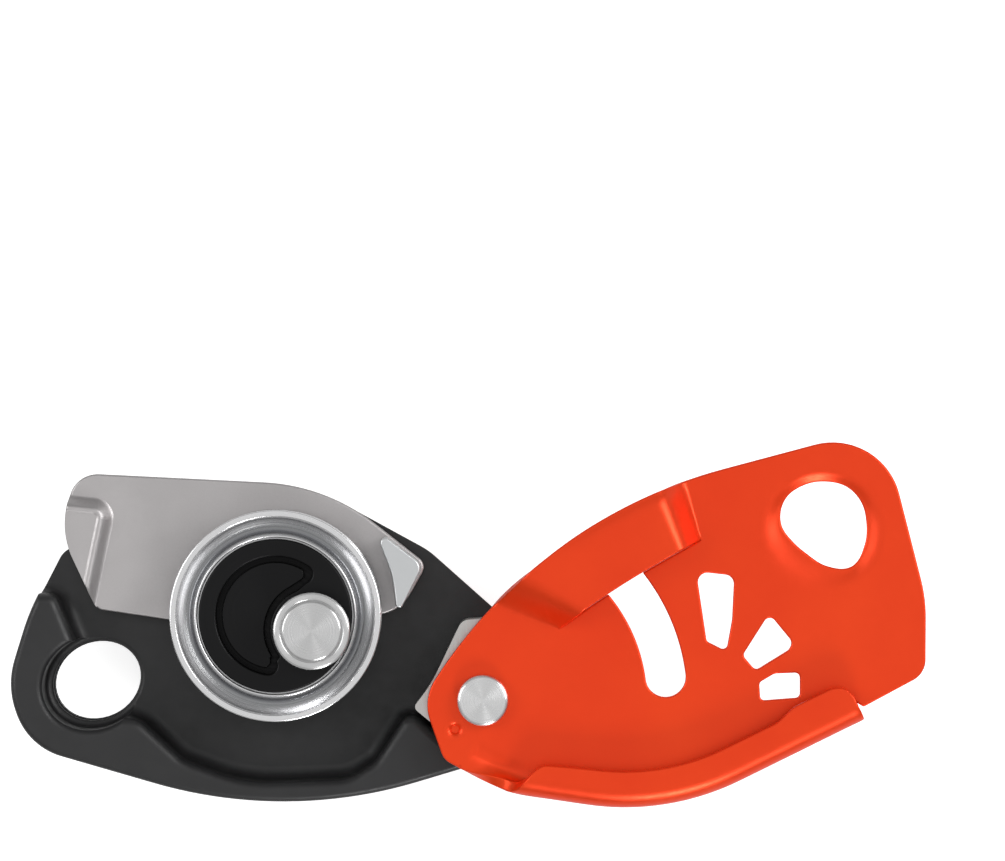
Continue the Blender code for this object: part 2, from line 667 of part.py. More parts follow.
def plate_rivet(materials):
    """Main rivet with its flat head in front, and the collar that it is closed over behind."""
    head_back = SIDE_PLATE_FRONT + SEAT_GAP
    head_front = head_back + RIVET_HEAD_HEIGHT
    collar_front = FIXED_BACK - SEAT_GAP
    tail = collar_front - COLLAR_HEIGHT - RIVET_TAIL
    profile = [
        (0.0, head_front), (RIVET_HEAD_RADIUS - EDGE_CUT, head_front), (RIVET_HEAD_RADIUS, head_front - EDGE_CUT),
        (RIVET_HEAD_RADIUS, head_back), (RIVET_RADIUS, head_back), (RIVET_RADIUS, tail + EDGE_CUT),
        (RIVET_RADIUS - EDGE_CUT, tail), (0.0, tail),
    ]
    turned("plate_rivet", profile, (0.0, 0.0), materials["bright"], 40)
    collar = ring_profile(
        RIVET_RADIUS + BORE_GAP, COLLAR_RADIUS, collar_front - COLLAR_HEIGHT, collar_front, EDGE_CUT
    )
    turned("rivet_back_collar", collar, (0.0, 0.0), materials["steel"], 32)


def cam_outline():
    """Outline of the cam plate: nose, top edge, tail, then the disc behind the wheel."""
    tail = rounded(TAIL_OUTLINE)
    return tail + arc(WHEEL, CAM_DISC_RADIUS, *CAM_DISC_ARC)


def cam_plate(materials):
    """Stamped stainless plate with a stepped tail; the hub is screwed to it."""
    plate = slab("cam_plate", [cam_outline()], CAM_BACK, CAM_FRONT, materials["cam"])
    step_low = CAM_FRONT - CAM_PLATE_THICKNESS / 2.0
    step_high = CAM_FRONT + TAIL_STEP_HEIGHT
    step = slab_cutter("tail_step", [rounded(TAIL_STEP_OUTLINE)], step_low, step_high)
    round_level(step.data, step_high, TAIL_STEP_SLOPE, 2)
    tail = inset(rounded(TAIL_OUTLINE), TAIL_STEP_INSET)
    trim = slab_cutter("tail_trim", [tail], step_low - CUT_PAST, step_high + CUT_PAST)
    boolean(step, trim, "INTERSECT")
    join(plate, step)
    bottom = CAM_BACK - CUT_PAST
    top = CAM_FRONT + CUT_PAST
    drill(plate, "cam_axle_bore", AXLE, AXLE_RADIUS + BORE_GAP, bottom, top)
    pin_at = polar(DRIVE_PIN_REACH, DRIVE_PIN_ANGLE, AXLE)
    drill(plate, "cam_pin_bore", pin_at, DRIVE_PIN_RADIUS + BORE_GAP, bottom, top, 16)
    for index, place in enumerate(hub_screw_places()):
        bore = SCREW_RADIUS + BORE_GAP
        profile = [
            (0.0, top), (bore, top), (bore, CAM_BACK + SCREW_HEAD_HEIGHT),
            (SCREW_HEAD_RADIUS + BORE_GAP + PIN_SHORT, CAM_BACK - PIN_SHORT), (0.0, CAM_BACK - PIN_SHORT),
        ]
        cut(plate, turned_cutter(f"cam_screw_sink_{index + 1}", profile, place, 20))
    washer = ring_profile(
        AXLE_RADIUS + BORE_GAP, CAM_WASHER_RADIUS, CAM_WASHER_BACK, CAM_WASHER_BACK + CAM_WASHER_THICKNESS
    )
    turned("cam_washer", washer, AXLE, materials["acetal"], 32)
    return plate


def hub_screw_places():
    """Two places in the hub, clear of the axle."""
    return [polar(HUB_SCREW_CIRCLE, WHEEL_OFFSET_ANGLE + turn, WHEEL) for turn in (-0.9, 0.9)]


def hub_screws(materials):
    """Countersunk screws from behind the cam plate into the hub."""
    tip = CAM_FRONT + HUB_SCREW_DEPTH
    back = CAM_BACK + PIN_SHORT
    for index, place in enumerate(hub_screw_places()):
        profile = [
            (0.0, tip), (SCREW_RADIUS, tip), (SCREW_RADIUS, back + SCREW_HEAD_HEIGHT - PIN_SHORT),
            (SCREW_HEAD_RADIUS, back), (0.0, back),
        ]
        turned(f"hub_screw_{index + 1}", profile, place, materials["steel"], 18)


def cam_nose(materials):
    """Hardened nose block on the cam plate, as tall as the rope groove."""
    low = CAM_FRONT + SEAT_GAP
    high = WHEEL_FRONT - NOSE_BELOW_WHEEL
    nose = slab("cam_nose", [rounded(NOSE_OUTLINE)], low, high, materials["bright"])
    round_level(nose.data, high, EDGE_CUT, 2)


def drive_pin(materials):
    """Dowel pressed in the cam plate that carries the handle's turn through the fixed plate."""
    profile = rod_profile(DRIVE_PIN_RADIUS, LINK_BACK + DRIVE_PIN_LIFT + PIN_SHORT, CAM_FRONT - PIN_SHORT, PIN_SHORT)
    turned("drive_pin", profile, polar(DRIVE_PIN_REACH, DRIVE_PIN_ANGLE, AXLE), materials["steel"], 20)


def crescent(border):
    """Outline of the hub's crescent recess, drawn in by a border."""
    outer = CRESCENT_RADIUS - border
    inner = CRESCENT_INNER_RADIUS + border
    tip = CRESCENT_TIP - 0.35 * border
    tip_reach = CRESCENT_RADIUS - CRESCENT_TIP
    from_axle = CRESCENT_INNER_RADIUS + CRESCENT_TIP + CRESCENT_TIP_GAP
    spread = math.acos(
        (tip_reach ** 2 + WHEEL_OFFSET ** 2 - from_axle ** 2) / (2.0 * tip_reach * WHEEL_OFFSET)
    )
    towards_axle = WHEEL_OFFSET_ANGLE - math.pi
    start = towards_axle + spread + border / outer
    end = towards_axle + 2.0 * math.pi - spread - border / outer
    points = arc(WHEEL, outer, start, end)
    low_tip = polar(outer - tip, end, WHEEL)
    points += arc(low_tip, tip, end, end + CRESCENT_TIP_SWEEP)[1:]
    low_edge = polar(tip_reach, towards_axle - spread, WHEEL)
    high_edge = polar(tip_reach, towards_axle + spread, WHEEL)
    back_start = math.atan2(low_edge[1] - AXLE[1], low_edge[0] - AXLE[0]) + 2.0 * math.pi - border / inner
    back_end = math.atan2(high_edge[1] - AXLE[1], high_edge[0] - AXLE[0]) + CRESCENT_HIGH_LEAD + border / inner
    points += arc(AXLE, inner, back_start, back_end)
    high_tip = polar(outer - tip, start, WHEEL)
    points += arc(high_tip, tip, start - CRESCENT_TIP_SWEEP, start)[:-1]
    return points


def wheel_hub(materials):
    """Eccentric hub that the wheel turns on, with a crescent recess in its face."""
    head_back = HUB_FRONT - HUB_HEAD_HEIGHT
    low = CAM_FRONT + SEAT_GAP
    profile = [
        (0.0, HUB_FRONT), (HUB_HEAD_RADIUS - EDGE_CUT, HUB_FRONT), (HUB_HEAD_RADIUS, HUB_FRONT - EDGE_CUT),
        (HUB_HEAD_RADIUS, head_back), (HUB_JOURNAL_RADIUS, head_back), (HUB_JOURNAL_RADIUS, low), (0.0, low),
    ]
    hub = turned("wheel_hub", profile, WHEEL, materials["black_alloy"], 56)
    top = HUB_FRONT + CUT_PAST
    cut(hub, slab_cutter("crescent_shelf", [crescent(0.0)], HUB_FRONT - CRESCENT_SHELF, top))
    ring = [crescent(0.0), crescent(CRESCENT_BORDER)]
    cut(hub, slab_cutter("crescent_groove", ring, HUB_FRONT - CRESCENT_DEPTH, top))
    drill(hub, "hub_axle_bore", AXLE, AXLE_RADIUS + BORE_GAP, low - CUT_PAST, top)
    for index, place in enumerate(hub_screw_places()):
        deep = CAM_FRONT + HUB_SCREW_DEPTH + SCREW_END_GAP
        drill(hub, f"hub_screw_bore_{index + 1}", place, SCREW_RADIUS + BORE_GAP, low - CUT_PAST, deep, 16)


def wheel_profile():
    """Section of the turned wheel: dished front, rope groove, plain back, stepped bore."""
    shoulder = HUB_FRONT - HUB_HEAD_HEIGHT - SEAT_GAP
    rim_inner = WHEEL_RADIUS - RIM_FLAT
    mouth = HUB_HEAD_RADIUS + BORE_GAP
    profile = [(mouth, HUB_FRONT - EDGE_CUT), (mouth + EDGE_CUT, HUB_FRONT)]
    dish_inner = mouth + 2.0 * EDGE_CUT
    for step in range(6):
        share = step / 5.0
        radius = dish_inner + (rim_inner - EDGE_CUT - dish_inner) * share
        depth = DISH_DEPTH * math.sin(math.pi * share) ** 0.8
        profile.append((radius, WHEEL_FRONT - EDGE_CUT - depth))
    profile += [(rim_inner, WHEEL_FRONT), (WHEEL_RADIUS - EDGE_CUT, WHEEL_FRONT)]
    profile += [(WHEEL_RADIUS, WHEEL_FRONT - EDGE_CUT)]
    middle = (WHEEL_FRONT + WHEEL_BACK) / 2.0
    half_angle = math.acos(1.0 - GROOVE_DEPTH / GROOVE_RADIUS)
    groove_centre = WHEEL_RADIUS - GROOVE_DEPTH + GROOVE_RADIUS
    for step in range(7):
        angle = half_angle * (1.0 - step / 3.0)
        profile.append((groove_centre - GROOVE_RADIUS * math.cos(angle), middle + GROOVE_RADIUS * math.sin(angle)))
    profile += [(WHEEL_RADIUS, WHEEL_BACK + EDGE_CUT), (WHEEL_RADIUS - EDGE_CUT, WHEEL_BACK)]
    profile += [(WHEEL_BORE, WHEEL_BACK), (WHEEL_BORE, shoulder), (mouth, shoulder)]
    return profile


def wheel_group(materials):
    """Steel wheel with its bush, and the thrust washer behind it."""
    turned("wheel", wheel_profile(), WHEEL, materials["bright"], 56)
    bush = ring_profile(
        HUB_JOURNAL_RADIUS + BORE_GAP, WHEEL_BORE - BORE_GAP, WHEEL_BACK, HUB_FRONT - HUB_HEAD_HEIGHT - SEAT_GAP
    )
    turned("wheel_bush", bush, WHEEL, materials["acetal"], 56)
    washer = ring_profile(
        HUB_JOURNAL_RADIUS + BORE_GAP, WHEEL_WASHER_RADIUS, WHEEL_WASHER_BACK,
        WHEEL_WASHER_BACK + WHEEL_WASHER_THICKNESS
    )
    turned("wheel_thrust_washer", washer, WHEEL, materials["acetal"], 48)


def cam_axle(materials):
    """Mushroom-headed axle; its neck runs in the moving plate's slot and its head hooks over it."""
    head_back = SIDE_PLATE_FRONT + NECK_GAP
    head_front = head_back + AXLE_HEAD_HEIGHT
    neck_back = SIDE_PLATE_BACK - NECK_GAP
    stub_front = NUT_RECESS + NUT_HEIGHT + SEAT_GAP
    stub_back = NUT_RECESS + EDGE_CUT
    profile = [
        (0.0, head_front + FACE_PROUD), (AXLE_FACE_RADIUS - EDGE_CUT, head_front + FACE_PROUD),
        (AXLE_FACE_RADIUS, head_front - FACE_PROUD), (AXLE_FACE_RADIUS + EDGE_CUT, head_front),
        (AXLE_HEAD_RADIUS - 1.5 * EDGE_CUT, head_front), (AXLE_HEAD_RADIUS, head_front - 1.5 * EDGE_CUT),
        (AXLE_HEAD_RADIUS, head_back + EDGE_CUT), (AXLE_HEAD_RADIUS - EDGE_CUT, head_back),
        (NECK_RADIUS, head_back), (NECK_RADIUS, neck_back), (AXLE_RADIUS, neck_back),
        (AXLE_RADIUS, stub_front), (AXLE_STUB_RADIUS, stub_front), (AXLE_STUB_RADIUS, stub_back), (0.0, stub_back),
    ]
    turned("cam_axle", profile, AXLE, materials["bright"], 56)
    sides = [circle(AXLE, NUT_RADIUS, 6), circle(AXLE, AXLE_STUB_RADIUS + BORE_GAP, 28)]
    nut = slab("axle_back_nut", sides, NUT_RECESS, NUT_RECESS + NUT_HEIGHT, materials["steel"])
    round_level(nut.data, NUT_RECESS, EDGE_CUT, 1)


def smoothstep(value):
    """Ease from 0 to 1."""
    value = min(1.0, max(0.0, value))
    return value * value * (3.0 - 2.0 * value)


def resample(points, spacing):
    """Return points at an even spacing along an open line, with their distances."""
    lengths = [0.0]
    for first, second in zip(points, points[1:]):
        lengths.append(lengths[-1] + (Vector(second) - Vector(first)).length)
    count = max(2, round(lengths[-1] / spacing))
    result = []
    index = 0
    for step in range(count + 1):
        goal = lengths[-1] * step / count
        while index < len(points) - 2 and lengths[index + 1] < goal:
            index += 1
        share = (goal - lengths[index]) / (lengths[index + 1] - lengths[index])
        result.append(tuple(Vector(points[index]).lerp(Vector(points[index + 1]), share)))
    return result, lengths[-1]


LIP_RINGS = 9
LIP_SPACING = 0.0013
LIP_PLAIN_STEP = 3
BRIDGE_STATIONS = 20
BRIDGE_ROWS = 3
DISH_RINGS = 3
DISH_STEPS = 36


def lip_rows():
    """Rows of points of the rolled lip, from the bend line to the free edge."""
    path, length = resample(rounded(LIP_CORNERS, closed=False), LIP_SPACING)
    middle_radius = LIP_RADIUS - SIDE_PLATE_THICKNESS / 2.0
    rows = []
    for index, point in enumerate(path):
        distance = length * index / (len(path) - 1)
        grown = (distance - LIP_START) / LIP_ROUND
        plain = grown > 1.05 and length - distance > TAB_LENGTH
        if grown < 0.0 or (plain and index % LIP_PLAIN_STEP):
            continue
        ahead = Vector(path[min(index + 1, len(path) - 1)])
        behind = Vector(path[max(index - 1, 0)])
        along = (ahead - behind).normalized()
        inward = Vector((-along.y, along.x))
        grown = grown if rows else 0.0
        roll = smoothstep(grown / LIP_ROLL_SHARE)
        left = length - distance
        land = LIP_LAND + LIP_LAND_GAIN * smoothstep((distance - LIP_START) / LIP_GAIN_RUN)
        land += (TAB_LAND - land) * smoothstep((TAB_LENGTH - left) / (0.35 * TAB_LENGTH))
        corner = max(0.0, 1.0 - left / TAB_CORNER)
        land -= TAB_DROP * (1.0 - math.sqrt(1.0 - corner * corner))
        curvature = max(roll, 0.01) / middle_radius
        reach = LIP_RADIUS / (1.0 / curvature + SIDE_PLATE_THICKNESS / 2.0)
        narrow = math.asin(min(1.0, reach)) / curvature
        wide = math.pi * middle_radius + land
        width = narrow + (wide - narrow) * smoothstep((grown - LIP_WIDEN_START) / (1.0 - LIP_WIDEN_START))
        row = []
        for ring in range(LIP_RINGS + 1):
            run = width * ring / LIP_RINGS
            bent = min(run, math.pi * middle_radius)
            out = math.sin(curvature * bent) / curvature
            rise = (1.0 - math.cos(curvature * bent)) / curvature if rows else 0.0
            beyond = run - bent
            out += beyond * math.cos(curvature * bent)
            rise += beyond * math.sin(curvature * bent)
            place = Vector(point) + inward * (LIP_RADIUS - out)
            if not rows:
                place += along * LIP_ROOT_BOW * math.sin(math.pi * ring / LIP_RINGS)
            row.append((place.x, place.y, rise))
        rows.append(row)
    return rows


def crest_arc():
    """Centre of the large round of the plate's upper edge, from its corner."""
    corners = (PLATE_CORNERS[-1], PLATE_CREST, PLATE_HEEL[0])
    points = rounded(corners, closed=False)[1:-1]
    first, middle, last = (Vector(points[i]) for i in (0, len(points) // 2, -1))
    normal_one = (middle - first).orthogonal()
    normal_two = (last - middle).orthogonal()
    base_one = (first + middle) / 2.0
    base_two = (middle + last) / 2.0
    gap = base_two - base_one
    share = (gap.x * normal_two.y - gap.y * normal_two.x) / (
        normal_one.x * normal_two.y - normal_one.y * normal_two.x
    )
    return base_one + normal_one * share


def bridge_rows():
    """Rows of points of the raised bridge, each from its free inner edge to the plate's edge."""
    centre = crest_arc()
    left = Vector(BRIDGE_FEET[0])
    right = Vector(BRIDGE_FEET[1])
    side = (right - left).orthogonal().normalized()
    rows = []
    for station in range(BRIDGE_STATIONS + 1):
        share = station / BRIDGE_STATIONS
        inner = left.lerp(right, share) + side * BRIDGE_INNER_BOW * math.sin(math.pi * share)
        angle = BRIDGE_OUTER_ANGLES[0] + (BRIDGE_OUTER_ANGLES[1] - BRIDGE_OUTER_ANGLES[0]) * share
        outer = Vector(polar(PLATE_CREST[2], angle, centre))
        rise = BRIDGE_RISE * smoothstep(share / BRIDGE_LEFT_RAMP)
        rise *= smoothstep((1.0 - share) / BRIDGE_RIGHT_RAMP)
        row = []
        for step in range(BRIDGE_ROWS + 1):
            place = inner.lerp(outer, step / BRIDGE_ROWS)
            row.append((place.x, place.y, rise))
        rows.append(row)
    return rows


def opening_radius(angle):
    """Radius of the rounded three-sided attachment opening, on a smooth line through its radii."""
    count = len(PLATE_OPENING)
    place = (angle / (2.0 * math.pi)) % 1.0 * count
    index = int(place)
    share = place - index
    before, low, high, after = (PLATE_OPENING[(index + step) % count] for step in (-1, 0, 1, 2))
    start, end = (high - before) / 2.0, (after - low) / 2.0
    square, cube = share * share, share ** 3
    rise = smoothstep(share)
    return low + (high - low) * rise + start * (cube - 2.0 * square + share) + end * (cube - square)


def dish_rows():
    """Rings of points from the attachment opening out to the rim of its dish."""
    rows = []
    for ring in range(DISH_RINGS + 1):
        share = ring / DISH_RINGS
        row = []
        for step in range(DISH_STEPS):
            angle = 2.0 * math.pi * step / DISH_STEPS
            inner = Vector(polar(opening_radius(angle), angle, PLATE_HOLE))
            middle = (PLATE_HOLE[0] + DISH_SHIFT[0], PLATE_HOLE[1] + DISH_SHIFT[1])
            outer = Vector(polar(DISH_RADIUS, angle, middle))
            place = inner.lerp(outer, share)
            row.append((place.x, place.y, -DISH_SINK * (1.0 - smoothstep(share))))
        rows.append(row)
    return rows


def dimple_rows():
    """Rings of the small pressed dimple beside the rivet."""
    rows = []
    for share in (1.0, 0.66, 0.3):
        depth = DIMPLE_DEPTH * (1.0 - share * share)
        rows.append([(x, y, -depth) for x, y in circle(DIMPLE_AT, DIMPLE_RADIUS * share, 12)])
    return rows


def moving_plate_outline(lip, bridge):
    """Flat part of the moving plate, with every point that the lip and the bridge share with it."""
    centre = crest_arc()
    right_angle = direction(bridge[-1][-1], centre)
    left_angle = direction(bridge[0][-1], centre)
    right_corners = (lip_corner(lip),) + PLATE_CORNERS + (PLATE_CREST, PLATE_HEEL[0])
    outline = [row[0][:2] for row in lip]
    for point in rounded(right_corners, closed=False)[1:]:
        on_crest = abs((Vector(point) - centre).length - PLATE_CREST[2]) < 0.0002
        if on_crest and direction(point, centre) > right_angle - 0.004:
            break
        outline.append(point)
    outline += [point[:2] for point in reversed(bridge[-1])]
    outline += slot_between(bridge)
    outline += [point[:2] for point in bridge[0]]
    crest = rounded((PLATE_CORNERS[-1], PLATE_CREST, PLATE_HEEL[0]), closed=False)[1:-1]
    outline += [point for point in crest if direction(point, centre) > left_angle + 0.004]
    tip = lip[0][-1]
    heel_corners = ((*crest[-1], 0.0),) + PLATE_HEEL + ((tip[0], tip[1], 0.0),)
    outline += rounded(heel_corners, closed=False)[1:-1]
    outline += [point[:2] for point in reversed(lip[0][1:])]
    return outline


def direction(point, centre):
    """Angle of a point about a centre."""
    return math.atan2(point[1] - centre[1], point[0] - centre[0])


def lip_corner(lip):
    """Corner where the lip's bend line ends at the right."""
    return (lip[-1][0][0], lip[-1][0][1], 0.0)


def slot_between(bridge):
    """The slot's sides and round end, met where the bridge's free edge crosses above them."""
    left = Vector(bridge[0][0][:2])
    right = Vector(bridge[-1][0][:2])
    side = (right - left).orthogonal().normalized()
    crossings = []
    for radius in (AXLE_REACH + SLOT_HALF_WIDTH, AXLE_REACH - SLOT_HALF_WIDTH):
        low = 0.0
        high = 1.0
        for _ in range(40):
            share = (low + high) / 2.0
            place = left.lerp(right, share) + side * BRIDGE_INNER_BOW * math.sin(math.pi * share)
            if place.length < radius:
                low = share
            else:
                high = share
        crossings.append((place.x, place.y, math.atan2(place.y, place.x)))
    outer_angle = crossings[0][2]
    inner_angle = crossings[1][2]
    end = AXLE_ANGLE - PLATE_SWING - SLOT_END_CLEARANCE
    points = arc((0.0, 0.0), AXLE_REACH + SLOT_HALF_WIDTH, outer_angle, end)
    middle = polar(AXLE_REACH, end)
    points += arc(middle, SLOT_HALF_WIDTH, end, end - math.pi)[1:-1]
    points += arc((0.0, 0.0), AXLE_REACH - SLOT_HALF_WIDTH, end, inner_angle)
    return points


def moving_side_plate(materials):
    """Pressed alloy plate: flat web, rolled lip, raised bridge and dished opening as one sheet."""
    lip = lip_rows()
    bridge = bridge_rows()
    dish = dish_rows()
    dimple = dimple_rows()
    outlines = [moving_plate_outline(lip, bridge)]
    outlines.append([point[:2] for point in dish[-1]])
    outlines.append([point[:2] for point in dimple[0]])
    outlines.append(circle((0.0, 0.0), RIVET_RADIUS + BORE_GAP, 32))
    outlines += [rounded(window) for window in WINDOWS]
    mesh = slab_mesh("moving_side_plate", outlines, 0.0, 0.0)
    shape = bmesh.new()
    shape.from_mesh(mesh)
    for rows, closed in ((lip, False), (bridge, False), (dish, True), (dimple, True)):
        grid = [[shape.verts.new(point) for point in row] for row in rows]
        for first, second in zip(grid, grid[1:]):
            last = len(first) if closed else len(first) - 1
            for index in range(last):
                after = (index + 1) % len(first)
                shape.faces.new((first[index], first[after], second[after], second[index]))
    shape.verts.ensure_lookup_table()
    centre = shape.verts.new((DIMPLE_AT[0], DIMPLE_AT[1], -DIMPLE_DEPTH))
    inner = [shape.verts.new(point) for point in dimple[-1]]
    for index in range(len(inner)):
        shape.faces.new((inner[index], inner[(index + 1) % len(inner)], centre))
    bmesh.ops.remove_doubles(shape, verts=shape.verts, dist=0.00002)
    bmesh.ops.recalc_face_normals(shape, faces=shape.faces)
    up = sum(face.normal.z * face.calc_area() for face in shape.faces)
    if up < 0.0:
        bmesh.ops.reverse_faces(shape, faces=shape.faces)
    middle = (SIDE_PLATE_BACK + SIDE_PLATE_FRONT) / 2.0
    bmesh.ops.translate(shape, verts=shape.verts, vec=(0.0, 0.0, middle))
    shape.to_mesh(mesh)
    shape.free()
    plate = link(bpy.data.objects.new("moving_side_plate", mesh), materials["orange"])
    sheet = plate.modifiers.new("Sheet", "SOLIDIFY")
    sheet.thickness = SIDE_PLATE_THICKNESS
    sheet.offset = 0.0
    sheet.use_even_offset = True
    plate.data = bpy.data.meshes.new_from_object(plate.evaluated_get(bpy.context.evaluated_depsgraph_get()))
    plate.modifiers.clear()
    smooth(plate)
    plate.modifiers.new("Flat faces lead", "WEIGHTED_NORMAL").keep_sharp = True
    return plate


def handle_driver(materials):
    """Cranked link on the axle: full-depth hub with a flat for the folded lever, and a thin arm."""
    hub = turned_object("driver_round", rod_profile(DRIVER_HUB_RADIUS, 0.0, LINK_FRONT, DRIVER_EDGE), AXLE, 56)
    link(hub, collection=CUTTER_COLLECTION)
    hide_cutter(hub)
    arm = slab("handle_driver", [driver_arm_outline()], LINK_BACK, LINK_FRONT - ARM_STEP, materials["black"])
    flat_outline = driver_flat_outline()
    boolean(hub, slab_cutter("driver_flat_cut", [flat_outline], -CUT_PAST, LINK_BACK + ARM_STEP), "DIFFERENCE")
    join(arm, hub)
    bore = AXLE_RADIUS + BORE_GAP
    nut_pocket = NUT_RADIUS + NUT_POCKET_GAP
    nut_floor = NUT_RECESS + NUT_HEIGHT + SEAT_GAP
    stepped_bore = [
        (0.0, LINK_FRONT + CUT_PAST), (bore, LINK_FRONT + CUT_PAST), (bore, nut_floor),
        (nut_pocket, nut_floor), (nut_pocket, -CUT_PAST), (0.0, -CUT_PAST),
    ]
    cut(arm, turned_cutter("driver_stepped_bore", stepped_bore, AXLE, 36))
    pocket = ring_profile(
        SPRING_POST_RADIUS, SPRING_RADIUS + SPRING_WIRE / 2.0 + SPRING_POCKET_GAP,
        SPRING_POCKET_FLOOR, LINK_FRONT + CUT_PAST
    )
    cut(arm, turned_cutter("driver_spring_pocket", pocket, AXLE, 40))
    pin_at = polar(DRIVE_PIN_REACH, DRIVE_PIN_ANGLE, AXLE)
    pin_floor = LINK_BACK + DRIVE_PIN_LIFT
    drill(arm, "driver_pin_bore", pin_at, DRIVE_PIN_RADIUS + BORE_GAP, pin_floor, LINK_FRONT + CUT_PAST, 16)
    drill(arm, "driver_pivot_bore", PIVOT, PIVOT_PIN_RADIUS + BORE_GAP, LINK_BACK - CUT_PAST, LINK_FRONT + CUT_PAST)


def driver_arm_outline():
    """Tapered arm between the axle and the lever's pivot."""
    side = math.acos((ARM_RADIUS - LINK_END_RADIUS) / PIVOT_REACH)
    points = arc(PIVOT, LINK_END_RADIUS, PIVOT_ANGLE - side, PIVOT_ANGLE + side)
    points += arc(AXLE, ARM_RADIUS, PIVOT_ANGLE + side, PIVOT_ANGLE + 2.0 * math.pi - side)
    return points


def driver_flat_outline():
    """Region below the flat where the folded lever lies."""
    along = Vector((math.cos(LEVER_ANGLE), math.sin(LEVER_ANGLE)))
    below = Vector((-along.y, along.x))
    near = Vector(AXLE) + below * DRIVER_FLAT
    reach = 2.2 * DRIVER_HUB_RADIUS
    far = near + below * reach
    ends = (near - along * reach, near + along * reach, far + along * reach, far - along * reach)
    return [tuple(point) for point in ends]


def lever_outline(start, end, boss_radius, tip_radius):
    """Outline of the lever between two distances from its pivot, with a slight belly."""
    along = Vector((math.cos(LEVER_ANGLE), math.sin(LEVER_ANGLE)))
    left_side = Vector((-along.y, along.x))
    pivot = Vector(PIVOT)
    tip_centre = end - tip_radius
    upper = []
    lower = []
    steps = 8
    for step in range(steps + 1):
        share = step / steps
        run = start + (tip_centre - start) * share
        half = boss_radius + (tip_radius - boss_radius) * run / tip_centre
        belly = LEVER_BELLY * math.sin(math.pi * share)
        upper.append(tuple(pivot + along * run - left_side * (half - 0.4 * belly)))
        lower.append(tuple(pivot + along * run + left_side * (half + belly)))
    points = list(reversed(lower))
    tip = arc(tuple(pivot + along * tip_centre), tip_radius, LEVER_ANGLE - math.pi / 2.0, LEVER_ANGLE + math.pi / 2.0)
    points = upper + tip[1:-1] + points
    if start <= 0.0:
        boss = arc(PIVOT, boss_radius, LEVER_ANGLE + math.pi / 2.0, LEVER_ANGLE + 1.5 * math.pi)
        points += boss[1:-1]
    return points


def handle_lever(materials):
    """Folding grip: thin lap over the pivot, then a full-depth handle with a rubber insert."""
    outline = lever_outline(0.0, LEVER_LENGTH, LEVER_BOSS_RADIUS, LEVER_TIP_RADIUS)
    lever = slab("handle_lever", [outline], 0.0, GRIP_THICKNESS, materials["black"])
    round_level(lever.data, GRIP_THICKNESS, LEVER_EDGE_ROUND, 2)
    along = Vector((math.cos(LEVER_ANGLE), math.sin(LEVER_ANGLE)))
    side = Vector((-along.y, along.x))
    pivot = Vector(PIVOT)
    wide = 1.7 * LEVER_BOSS_RADIUS
    lap = [
        pivot - along * wide - side * wide, pivot + along * LAP_LENGTH - side * wide,
        pivot + along * (LAP_LENGTH + LAP_SLANT) + side * wide, pivot - along * wide + side * wide,
    ]
    cut(lever, slab_cutter("lever_lap_cut", [[tuple(p) for p in lap]], LEVER_LAP, GRIP_THICKNESS + CUT_PAST))
    sink_floor = SEAT_GAP + PIVOT_HEAD_HEIGHT + SEAT_GAP
    bore = PIVOT_PIN_RADIUS + BORE_GAP
    sink = PIVOT_HEAD_RADIUS + BORE_GAP
    sink_profile = [
        (0.0, LEVER_LAP + CUT_PAST), (bore, LEVER_LAP + CUT_PAST), (bore, sink_floor), (sink, sink_floor),
        (sink, -CUT_PAST), (0.0, -CUT_PAST),
    ]
    cut(lever, turned_cutter("lever_pivot_bore", sink_profile, PIVOT, 32))
    pocket = insert_outline(SEAT_GAP)
    cut(lever, slab_cutter("lever_insert_pocket", [pocket], -CUT_PAST, INSERT_THICKNESS + 2.0 * SEAT_GAP))
    insert = slab("handle_insert", [insert_outline(0.0)], SEAT_GAP, SEAT_GAP + INSERT_THICKNESS, materials["rubber"])
    pin_front = LINK_FRONT - ARM_STEP
    profile = [
        (0.0, pin_front), (PIVOT_PIN_RADIUS, pin_front), (PIVOT_PIN_RADIUS, SEAT_GAP + PIVOT_HEAD_HEIGHT),
        (PIVOT_HEAD_RADIUS, SEAT_GAP + PIVOT_HEAD_HEIGHT), (PIVOT_HEAD_RADIUS, 2.0 * SEAT_GAP),
        (PIVOT_HEAD_RADIUS - EDGE_CUT, SEAT_GAP), (0.0, SEAT_GAP),
    ]
    turned("handle_pivot_pin", profile, PIVOT, materials["steel"], 28)
    washer_back = LEVER_LAP + PIN_SHORT
    washer = ring_profile(
        PIVOT_PIN_RADIUS + BORE_GAP, LINK_END_RADIUS - 2.0 * BORE_GAP, washer_back, washer_back + PIVOT_WASHER
    )
    turned("handle_pivot_washer", washer, PIVOT, materials["acetal"], 28)


def insert_outline(gap):
    """Rounded pad on the back of the grip, grown by a gap."""
    along = Vector((math.cos(LEVER_ANGLE), math.sin(LEVER_ANGLE)))
    side = Vector((-along.y, along.x))
    start = Vector(PIVOT) + along * (INSERT_START - gap) + side * 0.3 * LEVER_BELLY
    end = start + along * (INSERT_LENGTH + 2.0 * gap)
    half = INSERT_WIDTH / 2.0 + gap
    corners = [start - side * half, end - side * half, end + side * half, start + side * half]
    return rounded([(point.x, point.y, 0.4 * INSERT_WIDTH) for point in corners])


def spring_end_angle():
    """Angle about the axle where the spring's front leg goes into the fixed plate."""
    return math.radians(230.0) + 2.0 * math.pi * SPRING_TURNS


